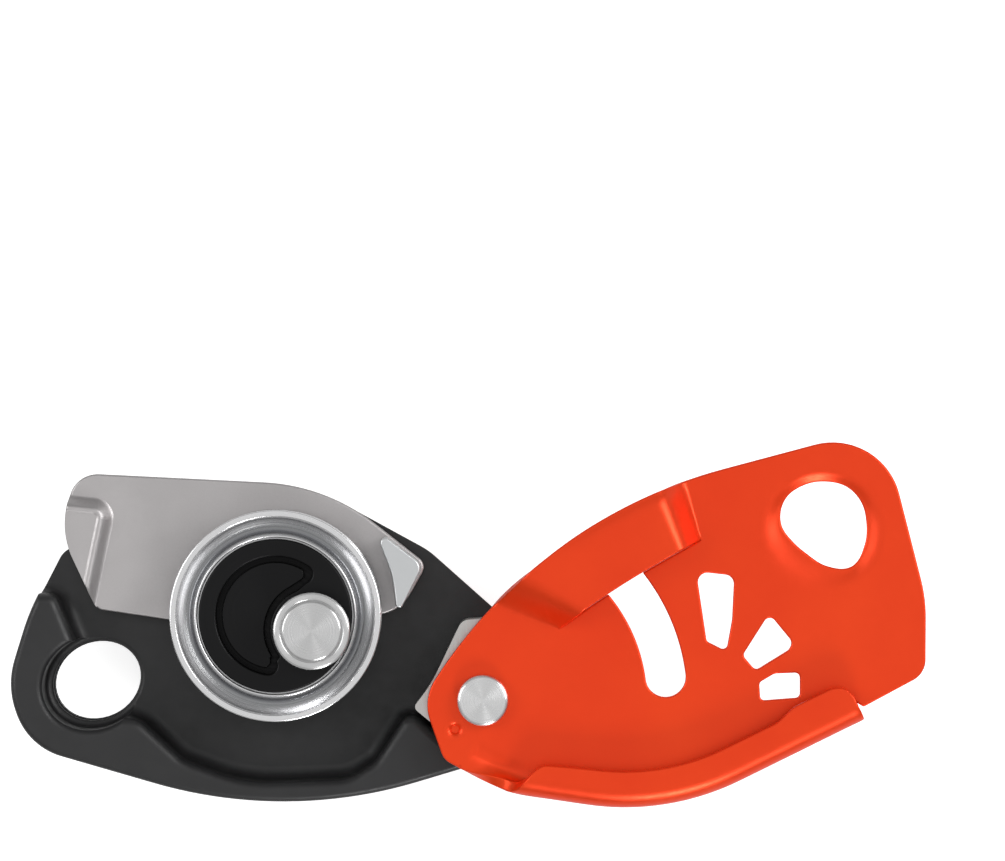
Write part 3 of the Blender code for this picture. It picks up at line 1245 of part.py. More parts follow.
def cam_return_spring(materials):
    """Torsion spring round the axle in the driver's pocket; it opens the cam."""
    pitch = (LINK_FRONT - SPRING_POCKET_FLOOR - SPRING_WIRE - SPRING_POCKET_GAP) / SPRING_TURNS
    first = SPRING_POCKET_FLOOR + SEAT_GAP + SPRING_WIRE / 2.0
    count = round(SPRING_TURNS * SPRING_POINTS_PER_TURN)
    points = []
    for index in range(count + 1):
        turn = SPRING_TURNS * index / count
        x, y = polar(SPRING_RADIUS, math.radians(230.0) + 2.0 * math.pi * turn, AXLE)
        points.append((x, y, first + pitch * turn))
    x, y, height = points[-1]
    leg_top = FIXED_BACK + SPRING_LEG - SEAT_GAP
    points.append((x, y, leg_top))
    curve = bpy.data.curves.new("cam_return_spring", "CURVE")
    curve.dimensions = "3D"
    curve.bevel_depth = SPRING_WIRE / 2.0
    curve.bevel_resolution = 1
    curve.use_fill_caps = True
    spline = curve.splines.new("POLY")
    spline.points.add(len(points) - 1)
    for point, place in zip(spline.points, points):
        point.co = (*place, 1.0)
    link(bpy.data.objects.new("cam_return_spring", curve), materials["steel"])
    print("spring gap between turns, mm:", round((pitch - SPRING_WIRE) * 1000.0, 3))


def hang_on_axes():
    """Parent moving pieces to empties on their joint axes, and everything to the rivet's empty."""
    device = bpy.data.objects.new("device", None)
    bpy.context.scene.collection.objects.link(device)
    groups = {
        "side_plate_axis": ((0.0, 0.0), ("moving_side_plate",)),
        "cam_axis": (AXLE, ("cam_plate", "cam_nose", "wheel_hub", "drive_pin", "hub_screw_1", "hub_screw_2")),
        "wheel_axis": (WHEEL, ("wheel", "wheel_bush", "wheel_thrust_washer")),
        "driver_axis": (AXLE, ("handle_driver", "handle_pivot_pin", "handle_pivot_washer")),
        "lever_axis": (PIVOT, ("handle_lever", "handle_insert")),
    }
    for name, (centre, members) in groups.items():
        axis = bpy.data.objects.new(name, None)
        axis.location = (centre[0], centre[1], 0.0)
        bpy.context.scene.collection.objects.link(axis)
        for member in members:
            part = bpy.data.objects[member]
            part.location = (part.location.x - centre[0], part.location.y - centre[1], part.location.z)
            part.parent = axis
    for obj in bpy.data.objects:
        if obj.parent is None and obj is not device:
            obj.parent = device
    device.location = (RIVET_AT[0], RIVET_AT[1], 0.0)
    bpy.context.view_layer.update()


def build():
    """Build the whole device."""
    start_scene()
    materials = {
        "nylon": make_material("black_nylon", (0.027, 0.027, 0.029), 0.5, 0.0),
        "black": make_material("handle_nylon", (0.02, 0.02, 0.021), 0.55, 0.0),
        "alloy": make_material("dark_anodised_plate", (0.03, 0.03, 0.032), 0.4, 0.9),
        "black_alloy": make_material("black_anodised_hub", (0.012, 0.012, 0.013), 0.45, 0.6),
        "cam": make_material("bead_blasted_stainless", (0.40, 0.38, 0.37), 0.4, 1.0),
        "stainless": make_material("polished_stainless", (0.62, 0.61, 0.60), 0.25, 1.0),
        "bright": make_material("turned_stainless", (0.66, 0.66, 0.66), 0.28, 1.0),
        "steel": make_material("zinc_plated_steel", (0.45, 0.45, 0.46), 0.35, 1.0),
        "acetal": make_material("natural_acetal", (0.55, 0.54, 0.50), 0.5, 0.0),
        "orange": make_material("orange_anodised_alloy", (0.74, 0.045, 0.008), 0.35, 0.2),
        "rubber": make_material("grey_rubber", (0.08, 0.08, 0.085), 0.8, 0.0),
    }
    fixed_plate(materials)
    body_shell(materials)
    shell_screws(materials)
    friction_shoe(materials)
    plate_rivet(materials)
    cam_plate(materials)
    cam_nose(materials)
    drive_pin(materials)
    wheel_hub(materials)
    hub_screws(materials)
    wheel_group(materials)
    cam_axle(materials)
    moving_side_plate(materials)
    handle_driver(materials)
    handle_lever(materials)
    cam_return_spring(materials)
    hang_on_axes()


build()
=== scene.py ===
import math

import bmesh
import bpy
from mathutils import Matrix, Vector
from mathutils.geometry import intersect_line_line_2d


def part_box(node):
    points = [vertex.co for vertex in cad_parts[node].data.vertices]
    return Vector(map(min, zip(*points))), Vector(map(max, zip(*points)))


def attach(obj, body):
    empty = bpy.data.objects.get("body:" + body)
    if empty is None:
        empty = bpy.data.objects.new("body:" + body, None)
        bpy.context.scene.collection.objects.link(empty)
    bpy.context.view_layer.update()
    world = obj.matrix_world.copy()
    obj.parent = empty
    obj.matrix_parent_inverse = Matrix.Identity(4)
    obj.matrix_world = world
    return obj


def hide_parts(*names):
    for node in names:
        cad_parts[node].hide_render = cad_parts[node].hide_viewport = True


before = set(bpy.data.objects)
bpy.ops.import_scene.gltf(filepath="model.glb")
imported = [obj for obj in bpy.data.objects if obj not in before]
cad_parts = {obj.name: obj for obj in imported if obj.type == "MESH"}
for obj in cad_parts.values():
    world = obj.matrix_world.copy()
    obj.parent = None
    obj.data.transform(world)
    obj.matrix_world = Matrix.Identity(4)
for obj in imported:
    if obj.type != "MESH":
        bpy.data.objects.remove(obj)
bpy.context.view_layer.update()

# Frame and view
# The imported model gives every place; lengths in the sections are in millimetres, measured in plan
# from the rivet that the orange plate swings on. The camera looks straight down, as in the photo.
MM = 0.001
scene = bpy.context.scene
scene.view_settings.view_transform = "Standard"


def box_middle(node):
    """Middle of a CAD node's box."""
    low, high = (Vector(corner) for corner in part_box(node))
    return (low + high) / 2.0


def in_scene(name, data):
    """Put an object with its data into the scene."""
    item = bpy.data.objects.new(name, data)
    scene.collection.objects.link(item)
    return item


RIVET, WHEEL, HUB, AXLE = (
    box_middle(node).xy for node in ("plate_rivet", "wheel", "wheel_hub", "cam_washer")
)
VIEW_PLACE = (RIVET.x + 0.0038, RIVET.y + 0.05176, 1.234)
VIEW_LENS, SENSOR_WIDTH, VIEW_END = 223.5, 36.0, 30.0
camera = in_scene("camera", bpy.data.cameras.new("camera"))
camera.data.lens = VIEW_LENS
camera.data.sensor_width = SENSOR_WIDTH
camera.data.clip_end = VIEW_END
camera.location = VIEW_PLACE
scene.camera = camera

# Studio
# A white table under a large soft panel, with a softbox at either side and a low strip in front, as
# for a catalogue picture. The table shows white to the camera and keeps a faint shadow. Each lamp
# has its place in metres, its width and its power.
WORLD_LOW, WORLD_HIGH, WORLD_TURN = 0.10, 0.58, 0.85
LAMPS = {
    "overhead_panel": ((0.0, 0.25, 2.1), 2.4, 3.0),
    "right_softbox": ((1.25, 0.55, 1.05), 0.9, 14.5),
    "left_softbox": ((-1.3, 0.35, 1.0), 0.9, 8.5),
    "low_strip": ((0.3, -1.15, 0.75), 0.35, 7.5),
}
SHEEN_WHITE = 0.06
for name, (place, width, power) in LAMPS.items():
    lamp = bpy.data.lights.new(name, "AREA")
    lamp.shape = "SQUARE"
    lamp.size = width
    lamp.energy = power
    holder = in_scene(name, lamp)
    holder.location = place
    holder.rotation_euler = (-Vector(place)).to_track_quat("-Z", "Y").to_euler()


def add(tree, kind, inputs=None, **settings):
    """Add a node with its settings; an input is a value or the socket that feeds it."""
    node = tree.nodes.new(kind)
    for name, value in settings.items():
        setattr(node, name, value)
    for socket, value in (inputs or {}).items():
        if isinstance(value, bpy.types.NodeSocket):
            tree.links.new(value, node.inputs[socket])
        else:
            node.inputs[socket].default_value = value
    return node


def seen_white(tree):
    """Factor that is 1 for the rays that should meet a white studio."""
    rays = add(tree, "ShaderNodeLightPath").outputs
    sharp = add(tree, "ShaderNodeMath", {0: rays["Is Glossy Ray"], 1: SHEEN_WHITE}, operation="MULTIPLY")
    factor = sharp.outputs[0]
    for ray in ("Is Camera Ray", "Is Transmission Ray"):
        factor = add(tree, "ShaderNodeMath", {0: rays[ray], 1: factor}, operation="MAXIMUM").outputs[0]
    return factor


WHITE, CARD_GREY = (1.0, 1.0, 1.0, 1.0), (0.72, 0.72, 0.72, 1.0)
world = bpy.data.worlds.new("studio")
scene.world = world
world.use_nodes = True
sky = world.node_tree
sky.nodes.clear()
facing = add(sky, "ShaderNodeTexCoord").outputs["Generated"]
height = add(sky, "ShaderNodeSeparateXYZ", {0: facing}).outputs["Z"]
dome = add(sky, "ShaderNodeMapRange", {
    "Value": height, "From Min": 0.0, "From Max": WORLD_TURN, "To Min": WORLD_LOW, "To Max": WORLD_HIGH,
}, interpolation_type="SMOOTHSTEP").outputs[0]
plain = add(sky, "ShaderNodeBackground", {"Color": WHITE, "Strength": dome})
white = add(sky, "ShaderNodeBackground", {"Color": WHITE, "Strength": 1.0})
mixed = add(sky, "ShaderNodeMixShader", {0: seen_white(sky), 1: plain.outputs[0], 2: white.outputs[0]})
add(sky, "ShaderNodeOutputWorld", {"Surface": mixed.outputs[0]})

TABLE_HALF, TABLE_GLOW = 2.5, 0.74
table_mesh = bpy.data.meshes.new("table")
table_corners = [(x * TABLE_HALF, y * TABLE_HALF, 0.0) for x, y in ((-1, -1), (1, -1), (1, 1), (-1, 1))]
table_mesh.from_pydata(table_corners, [], [(0, 1, 2, 3)])
table = in_scene("table", table_mesh)
paper = bpy.data.materials.new("white_card")
paper.use_nodes = True
tree = paper.node_tree
tree.nodes.clear()
card = add(tree, "ShaderNodeBsdfDiffuse", {"Color": CARD_GREY})
seen = add(tree, "ShaderNodeMath", {0: seen_white(tree), 1: TABLE_GLOW}, operation="MULTIPLY")
glow = add(tree, "ShaderNodeEmission", {"Color": WHITE, "Strength": seen.outputs[0]})
both = add(tree, "ShaderNodeAddShader", {0: card.outputs[0], 1: glow.outputs[0]})
add(tree, "ShaderNodeOutputMaterial", {"Surface": both.outputs[0]})
table_mesh.materials.append(paper)

# Body shell
# A tray injection moulded in black glass-filled nylon: a thick wall round the rope channel, soft at
# its top and root, drawn down in a funnel to the oval hole that the carabiner goes through.
NOISE_LOW, NOISE_HIGH = 0.3, 0.7
OUTLINE_ERROR = 0.008
AXLE_BORE, RIVET_BORE = 4.3, 3.3


def hex_colour(code):
    """Turn an sRGB hex value to the linear colour that a shader takes."""
    channels = [int(code[i:i + 2], 16) / 255.0 for i in (1, 3, 5)]
    linear = [c / 12.92 if c <= 0.04045 else ((c + 0.055) / 1.055) ** 2.4 for c in channels]
    return (*linear, 1.0)


def new_finish(name, colour, metallic, roughness):
    """Start a material with its colour and its shader."""
    material = bpy.data.materials.new(name)
    material.use_nodes = True
    tree = material.node_tree
    tree.nodes.clear()
    shader = add(tree, "ShaderNodeBsdfPrincipled", {
        "Base Color": hex_colour(colour), "Metallic": metallic, "Roughness": roughness,
    })
    add(tree, "ShaderNodeOutputMaterial", {"Surface": shader.outputs[0]})
    add(tree, "ShaderNodeTexCoord")
    return material


def skin(material, stretch=None):
    """A material's tree and shader, and coordinates in metres on the piece, stretched or not."""
    tree = material.node_tree
    place = tree.nodes["Texture Coordinate"].outputs["Object"]
    if stretch:
        place = add(tree, "ShaderNodeMapping", {"Vector": place, "Scale": stretch}).outputs[0]
    return tree, tree.nodes["Principled BSDF"], place


def wander(tree, place, size_mm, least, most):
    """Value that wanders between two, in patches of about a given size."""
    patches = add(tree, "ShaderNodeTexNoise", {
        "Vector": place, "Scale": 1.0 / (size_mm * MM), "Detail": 2.0,
    })
    return add(tree, "ShaderNodeMapRange", {
        "Value": patches.outputs["Fac"], "From Min": NOISE_LOW, "From Max": NOISE_HIGH,
        "To Min": least, "To Max": most,
    }).outputs[0]


def mottle(material, size_mm, dark, light):
    """Let the colour drift between two tones, in patches of about a given size."""
    tree, shader, place = skin(material)
    share = wander(tree, place, size_mm, 0.0, 1.0)
    blend = add(tree, "ShaderNodeMix", {"Factor": share}, data_type="RGBA")
    blend.inputs["A"].default_value = hex_colour(dark)
    blend.inputs["B"].default_value = hex_colour(light)
    tree.links.new(blend.outputs["Result"], shader.inputs["Base Color"])


def uneven_sheen(material, size_mm, sharpest, dullest, stretch=None):
    """Let the sheen wander between two roughnesses, in spots of about a given size."""
    tree, shader, place = skin(material, stretch)
    tree.links.new(wander(tree, place, size_mm, sharpest, dullest), shader.inputs["Roughness"])


def fine_relief(material, size_mm, depth_mm, strength, detail=2.0, stretch=None):
    """Press fine pits of about a given size into the surface."""
    tree, shader, place = skin(material, stretch)
    pits = add(tree, "ShaderNodeTexNoise", {
        "Vector": place, "Scale": 1.0 / (size_mm * MM), "Detail": detail,
    })
    bump = add(tree, "ShaderNodeBump", {
        "Height": pits.outputs["Fac"], "Distance": depth_mm * MM, "Strength": strength,
    })
    tree.links.new(bump.outputs[0], shader.inputs["Normal"])


def polar(radius, degrees, centre=(0.0, 0.0)):
    """Plan point at a radius and an angle about a centre."""
    turn = math.radians(degrees)
    return (centre[0] + radius * math.cos(turn), centre[1] + radius * math.sin(turn))


def sweep(centre, radius, start, end, step=4.0):
    """Points on an arc, both ends included."""
    count = max(2, math.ceil(abs(end - start) / step))
    return [polar(radius, start + (end - start) * i / count, centre) for i in range(count + 1)]


def smoothstep(value):
    """Ease from 0 to 1."""
    value = min(1.0, max(0.0, value))
    return value * value * (3.0 - 2.0 * value)


def fillet(corners, closed=True, step=7.0):
    """Outline through corners, each with its own fillet radius, in fine steps."""
    points = []
    for index, (x, y, radius) in enumerate(corners):
        if radius <= 0.0 or (not closed and index in (0, len(corners) - 1)):
            points.append((x, y))
            continue
        corner = Vector((x, y))
        before = (Vector(corners[index - 1][:2]) - corner).normalized()
        after = (Vector(corners[(index + 1) % len(corners)][:2]) - corner).normalized()
        half = before.angle(after) / 2.0
        middle = corner + (before + after).normalized() * radius / math.sin(half)
        first = corner + before * radius / math.tan(half) - middle
        last = corner + after * radius / math.tan(half) - middle
        start = math.degrees(math.atan2(first.y, first.x))
        turn = math.degrees(math.atan2(first.x * last.y - first.y * last.x, first.dot(last)))
        fine = min(step, math.degrees(2.0 * math.sqrt(2.0 * OUTLINE_ERROR / radius)))
        count = max(2, math.ceil(abs(turn) / fine))
        points += [polar(radius, start + turn * i / count, middle) for i in range(count + 1)]
    return points


def drawn_in(outline, distance):
    """A closed anticlockwise outline moved inwards, or outwards for a negative distance."""
    moved = []
    for index, point in enumerate(outline):
        here = Vector(point)
        come = (here - Vector(outline[index - 1])).normalized()
        go = (Vector(outline[(index + 1) % len(outline)]) - here).normalized()
        side = Vector((-come.y, come.x))
        middle = (side + Vector((-go.y, go.x))).normalized()
        moved.append(tuple(here + middle * distance / max(0.5, middle.dot(side))))
    return moved


def in_frame(x, y, z):
    """Point in the frame from millimetres measured from the rivet."""
    return (RIVET.x + x * MM, RIVET.y + y * MM, z * MM)


def as_piece(name, shape):
    """Make a piece from a bmesh."""
    mesh = bpy.data.meshes.new(name)
    shape.to_mesh(mesh)
    shape.free()
    return in_scene(name, mesh)


def as_solid(name, shape):
    """Make a piece from a closed bmesh, with its faces outwards."""
    bmesh.ops.recalc_face_normals(shape, faces=shape.faces)
    return as_piece(name, shape)


def stacked(name, outline, levels):
    """Closed solid of one outline at several heights, drawn in by a distance at each."""
    shape = bmesh.new()
    rings = []
    for height, distance in levels:
        rings.append([shape.verts.new(in_frame(x, y, height)) for x, y in drawn_in(outline, distance)])
    for below, above in zip(rings, rings[1:]):
        for i in range(len(below)):
            j = (i + 1) % len(below)
            shape.faces.new((below[i], below[j], above[j], above[i]))
    shape.faces.new(list(reversed(rings[0])))
    shape.faces.new(rings[-1])
    return as_solid(name, shape)


def round_over(top, radius, steps=5):
    """Heights and distances of a rounded upper edge."""
    turns = [math.pi / 2.0 * i / steps for i in range(steps + 1)]
    return [(top - radius + radius * math.sin(t), radius * (1.0 - math.cos(t))) for t in turns]


def turned(name, profile, centre, steps):
    """Closed solid turned about a vertical axis, from radii and heights in millimetres."""
    shape = bmesh.new()
    rings = []
    for radius, height in profile:
        if radius < 1e-6:
            rings.append([shape.verts.new((centre[0], centre[1], height * MM))])
            continue
        turns = [360.0 * i / steps for i in range(steps)]
        rings.append([shape.verts.new((*polar(radius * MM, t, centre), height * MM)) for t in turns])
    for first, second in zip(rings, rings[1:] + rings[:1]):
        if len(first) == 1 and len(second) == 1:
            continue
        for i in range(steps):
            j = (i + 1) % steps
            around = ((first, i), (first, j), (second, j), (second, i))
            corners = [ring[k % len(ring)] for ring, k in around]
            shape.faces.new(list(dict.fromkeys(corners)))
    return as_solid(name, shape)


def settle(piece):
    """Turn a piece and its modifiers into a plain mesh."""
    bpy.context.view_layer.update()
    evaluated = piece.evaluated_get(bpy.context.evaluated_depsgraph_get())
    mesh = bpy.data.meshes.new_from_object(evaluated)
    piece.modifiers.clear()
    piece.data = mesh
    return piece


def carve(piece, cutter, operation="DIFFERENCE"):
    """Cut one solid with another, which is then removed."""
    step = piece.modifiers.new("carve", "BOOLEAN")
    step.operation = operation
    step.solver = "EXACT"
    step.object = cutter
    settle(piece)
    bpy.data.objects.remove(cutter, do_unlink=True)


def bore(piece, radius, centre, bottom, top, steps):
    """Drill a piece about a vertical axis, from one height to another."""
    profile = [(0.0, bottom), (radius, bottom), (radius, top), (0.0, top)]
    carve(piece, turned("bore", profile, centre, steps))


def take_in(piece, other):
    """Add another closed solid to a piece."""
    shape = bmesh.new()
    shape.from_mesh(piece.data)
    shape.from_mesh(other.data)
    shape.to_mesh(piece.data)
    shape.free()
    bpy.data.objects.remove(other, do_unlink=True)


def hand_over(piece, finish, body, slot, *nodes, sharp=38.0):
    """Shade a piece, give it its finish, hang it under its body's empty and hide the CAD nodes that it
    stands for.
    """
    piece.data.materials.clear()
    piece.data.materials.append(finish)
    for face in piece.data.polygons:
        face.use_smooth = True
        face.material_index = 0
    piece.data.set_sharp_from_angle(angle=math.radians(sharp))
    piece.modifiers.new("flat faces lead", "WEIGHTED_NORMAL").keep_sharp = True
    settle(piece)
    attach(piece, body)
    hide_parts(*nodes)


BODY_OUTLINE = (
    (10.5, -9.2, 8.0), (11.5, 8.0, 7.0), (6.5, 13.2, 3.0), (-10.6, 28.4, 15.0), (-33.5, 40.9, 39.0),
    (-62.0, 40.9, 10.0), (-81.9, 27.9, 4.0), (-87.7, 16.6, 45.0), (-92.0, 2.6, 16.0), (-87.9, -9.3, 13.0),
    (-38.0, -23.74, 90.0),
)
CHANNEL_OUTLINE = (
    (-96.0, 20.2, 0.0), (-82.7, 20.2, 2.6), (-78.9, 10.9, 6.0), (-77.6, -3.0, 3.2), (-66.6, -3.9, 5.0),
    (-58.0, -11.9, 8.0), (-46.0, -16.3, 30.0), (-26.0, -15.6, 9.0), (-20.9, -12.3, 4.0), (-14.2, -2.2, 2.6),
    (-5.9, -9.25, 3.2), (22.0, -9.25, 0.0), (22.0, 56.0, 0.0), (-96.0, 56.0, 0.0),
)
SHELL_BACK, FLOOR_TOP, WALL_TOP = 16.3, 18.8, 30.0
WALL_ROUND, CHANNEL_ROUND, ROOT_FILLET = 1.2, 1.9, 2.6
HOLE_LONG, HOLE_SHORT, HOLE_TURN, HOLE_STEP = 8.55, 7.38, 25.0, 0.2
HOLE, HOLE_POINTS = (-75.166, 3.065), 120
FUNNEL_GAP, FUNNEL_FILLET, FUNNEL_ROUND, ROUND_STEPS = 1.6, 1.3, 1.3, 7
PIN_SLOT_OUTER, PIN_SLOT_INNER, PIN_SLOT_ENDS = 13.9, 9.7, (68.0, 103.0)


def hole_oval(border):
    """Oval attachment hole, wider by a border all round."""
    points = []
    for i in range(HOLE_POINTS):
        turn = 2.0 * math.pi * i / HOLE_POINTS
        along = polar((HOLE_LONG + border) * math.cos(turn), HOLE_TURN, HOLE)
        points.append(polar((HOLE_SHORT + border) * math.sin(turn), HOLE_TURN + 90.0, along))
    return points


def root_levels(bottom, radius):
    """Heights and distances of a cutter's rounded lower edge."""
    turns = [math.pi / 2.0 * i / ROUND_STEPS for i in range(ROUND_STEPS + 1)]
    return [(bottom + radius * (1.0 - math.cos(t)), radius * (1.0 - math.sin(t))) for t in turns]


def flare_levels(top, radius):
    """Heights and distances of a cutter that rounds the upper edge it leaves."""
    return [(height, -distance) for height, distance in round_over(top, radius, ROUND_STEPS)]


shell = stacked("body_shell_moulding", fillet(BODY_OUTLINE), [
    (SHELL_BACK, 0.4), (SHELL_BACK + 0.12, 0.12), (SHELL_BACK + 0.4, 0.0),
    *round_over(WALL_TOP, WALL_ROUND),
])
for name, outline, floor, fillet_radius, mouth_round, above in (
    ("channel", fillet(CHANNEL_OUTLINE), FLOOR_TOP, ROOT_FILLET, CHANNEL_ROUND, (0.3, 0.2)),
    ("funnel", hole_oval(FUNNEL_GAP), FLOOR_TOP - 0.2, FUNNEL_FILLET, FUNNEL_ROUND, (0.31, 0.4)),
):
    levels = root_levels(floor, fillet_radius) + flare_levels(WALL_TOP, mouth_round)
    levels.append((WALL_TOP + above[0], -mouth_round - above[1]))
    carve(shell, stacked(name, outline, levels))
carve(shell, stacked("hole", hole_oval(HOLE_STEP), [
    (SHELL_BACK - 1.0, 0.0), (FLOOR_TOP - 0.55, 0.0), (FLOOR_TOP - 0.3, -0.12), (FLOOR_TOP + 0.2, -0.5),
]))
bore(shell, AXLE_BORE, AXLE, SHELL_BACK - 1.3, WALL_TOP + 2.0, 48)
bore(shell, RIVET_BORE, RIVET, SHELL_BACK - 1.3, WALL_TOP + 2.0, 48)
axle_mm, wheel_mm, hub_mm = (tuple((centre - RIVET) / MM) for centre in (AXLE, WHEEL, HUB))
slot_outline = sweep(axle_mm, PIN_SLOT_OUTER, *PIN_SLOT_ENDS, 3.5)
slot_outline += sweep(axle_mm, PIN_SLOT_INNER, *PIN_SLOT_ENDS[::-1], 3.5)
carve(shell, stacked("pin_slot", slot_outline, [(SHELL_BACK - 1.3, 0.0), (FLOOR_TOP + 0.7, 0.0)]))

# Nylon stands in a spark-eroded mould: satin charcoal with a fine even grain of about 0.2 mm, drawn
# here at 0.35 mm so that it shows, and a slight unevenness in its sheen.
nylon = new_finish("moulded_glass_nylon", "#19191A", 0.0, 0.46)
mottle(nylon, 9.0, "#171718", "#1C1C1D")
uneven_sheen(nylon, 2.5, 0.40, 0.52)
fine_relief(nylon, 0.35, 0.02, 0.6, 3.0)
hand_over(shell, nylon, "frame", "nylon", "body_shell")

# Fixed plate
# Flat blanked alloy plate behind the tray that carries the axle and the rivet; hard black anodised,
# its blanked edges tumbled. Pieces as plain as this one keep the CAD shape with eased edges.


def join_flat(shape):
    """Join level triangles into a few large faces, none of which closes round a hole."""
    groups = {face: [face] for face in shape.faces}
    for edge in shape.edges:
        if len(edge.link_faces) != 2 or edge.calc_face_angle() > math.radians(0.3):
            continue
        one, two = (groups[face] for face in edge.link_faces)
        if one is two:
            continue
        joined = one + two
        corners = {vert for face in joined for vert in face.verts}
        sides = {side for face in joined for side in face.edges}
        if len(corners) - len(sides) + len(joined) == 1:
            for face in joined:
                groups[face] = joined
    for group in {id(group): group for group in groups.values()}.values():
        if len(group) > 1:
            bmesh.ops.dissolve_faces(shape, faces=group)


def ease(piece, width, degrees, **settings):
    """Round the edges of a piece that are sharper than an angle."""
    edge = piece.modifiers.new("eased edges", "BEVEL")
    edge.width = width * MM
    edge.segments = 3
    edge.limit_method = "ANGLE"
    edge.angle_limit = math.radians(degrees)
    for name, value in settings.items():
        setattr(edge, name, value)
    settle(piece)


def eased_copy(name, nodes, width):
    """Copy of CAD nodes with whole flat faces and softened edges."""
    shape = bmesh.new()
    for node in nodes:
        shape.from_mesh(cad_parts[node].data)
    bmesh.ops.remove_doubles(shape, verts=shape.verts, dist=2e-6)
    join_flat(shape)
    piece = as_solid(name, shape)
    if width > 0.0:
        ease(piece, width, 48.0, miter_outer="MITER_ARC")
    return piece


def hand_over_eased(name, width, finish, body, slot, *nodes):
    """Hand over an eased copy of CAD nodes in their place."""
    hand_over(eased_copy(name, nodes, width), finish, body, slot, *nodes)


anodised = new_finish("hard_black_anodised_aluminium", "#2B2B2D", 0.75, 0.42)
uneven_sheen(anodised, 1.2, 0.36, 0.50)
fine_relief(anodised, 0.4, 0.008, 0.5)
hand_over_eased("fixed_plate", 0.3, anodised, "frame", "dark_plate", "fixed_side_plate")

# Shell screws
# Three pan-head steel screws with a hexagon socket hold the tray to the fixed plate from behind.
# One Geometry Nodes tree sets a screw at each point.
steel = new_finish("zinc_plated_steel", "#B4B5B8", 1.0, 0.36)
uneven_sheen(steel, 0.8, 0.28, 0.46)
mottle(steel, 2.0, "#A6A7AB", "#C2C2C2")
SCREW_NODES = ("shell_screw_1", "shell_screw_2", "shell_screw_3")
screw_points = [(*box_middle(node).xy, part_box(node)[0][2]) for node in SCREW_NODES]
screw_back, screw_tip = (corner[2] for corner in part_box(SCREW_NODES[-1]))


def new_tree(name, *labels):
    """Start a Geometry Nodes tree with named inputs; returns it with its group input and their keys."""
    tree = bpy.data.node_groups.new(name, "GeometryNodeTree")
    tree.interface.new_socket(name="Geometry", in_out="INPUT", socket_type="NodeSocketGeometry")
    keys = {}
    for label in labels:
        socket = tree.interface.new_socket(name=label, in_out="INPUT", socket_type="NodeSocketFloat")
        keys[label] = socket.identifier
    tree.interface.new_socket(name="Geometry", in_out="OUTPUT", socket_type="NodeSocketGeometry")
    return tree, add(tree, "NodeGroupInput"), keys


def end_tree(tree, points, instance, finish, **spread):
    """End a tree with the instance at each point, made real and given its finish."""
    placed = add(tree, "GeometryNodeInstanceOnPoints", {"Points": points, "Instance": instance, **spread})
    real = add(tree, "GeometryNodeRealizeInstances", {"Geometry": placed.outputs[0]})
    painted = add(tree, "GeometryNodeSetMaterial", {"Geometry": real.outputs[0], "Material": finish})
    add(tree, "NodeGroupOutput", {0: painted.outputs[0]})


def run_tree(name, points, tree, keys, values):
    """Run a tree on points and keep the result as a piece with a plain mesh."""
    mesh = bpy.data.meshes.new(name)
    mesh.from_pydata(points, [], [])
    piece = in_scene(name, mesh)
    step = piece.modifiers.new(tree.name, "NODES")
    step.node_group = tree
    for label, value in values.items():
        step[keys[label]] = value
    return settle(piece)


tree, given, keys = new_tree(
    "screws at points", "Shank Radius", "Head Radius", "Head Height", "Length", "Socket Radius"
)
length, head, tall = (given.outputs[label] for label in ("Length", "Head Radius", "Head Height"))


def lifted(tree, geometry, height):
    """Move geometry up by a socket's value."""
    up = add(tree, "ShaderNodeCombineXYZ", {"Z": height})
    moved = add(tree, "GeometryNodeTransform", {"Geometry": geometry, "Translation": up.outputs[0]})
    return moved.outputs[0]


def scaled(tree, size, share):
    """A share of a socket's size."""
    return add(tree, "ShaderNodeMath", {0: size, 1: share}, operation="MULTIPLY").outputs[0]


shank_depth, shank_lift, foot_radius = (
    scaled(tree, size, share) for size, share in ((length, 0.96), (length, 0.52), (head, 0.78))
)
crown_depth, rim_depth, rim_lift, socket_depth, socket_lift = (
    scaled(tree, tall, share) for share in (0.36, 0.66, 0.67, 1.2, 0.05)
)
shank = add(tree, "GeometryNodeMeshCylinder", {
    "Vertices": 24, "Radius": given.outputs["Shank Radius"], "Depth": shank_depth,
})
crown = add(tree, "GeometryNodeMeshCone", {
    "Vertices": 40, "Radius Bottom": foot_radius, "Radius Top": head, "Depth": crown_depth,
})
rim = add(tree, "GeometryNodeMeshCylinder", {"Vertices": 40, "Radius": head, "Depth": rim_depth})
socket = add(tree, "GeometryNodeMeshCylinder", {
    "Vertices": 6, "Radius": given.outputs["Socket Radius"], "Depth": socket_depth,
})
head_solid = add(tree, "GeometryNodeMeshBoolean", operation="UNION")
tree.links.new(crown.outputs["Mesh"], head_solid.inputs["Mesh 2"])
tree.links.new(lifted(tree, rim.outputs["Mesh"], rim_lift), head_solid.inputs["Mesh 2"])
socketed = add(tree, "GeometryNodeMeshBoolean", {
    "Mesh 1": head_solid.outputs["Mesh"],
}, operation="DIFFERENCE")
tree.links.new(lifted(tree, socket.outputs["Mesh"], socket_lift), socketed.inputs["Mesh 2"])
joined = add(tree, "GeometryNodeJoinGeometry")
tree.links.new(lifted(tree, shank.outputs["Mesh"], shank_lift), joined.inputs[0])
tree.links.new(socketed.outputs["Mesh"], joined.inputs[0])
end_tree(tree, given.outputs["Geometry"], joined.outputs[0], steel)
screws = run_tree("tray_screws", screw_points, tree, keys, {
    "Shank Radius": 1.3 * MM, "Head Radius": 2.6 * MM, "Head Height": 1.4 * MM,
    "Length": screw_tip - screw_back, "Socket Radius": 1.2 * MM,
})
hand_over(screws, steel, "frame", "steel", *SCREW_NODES)

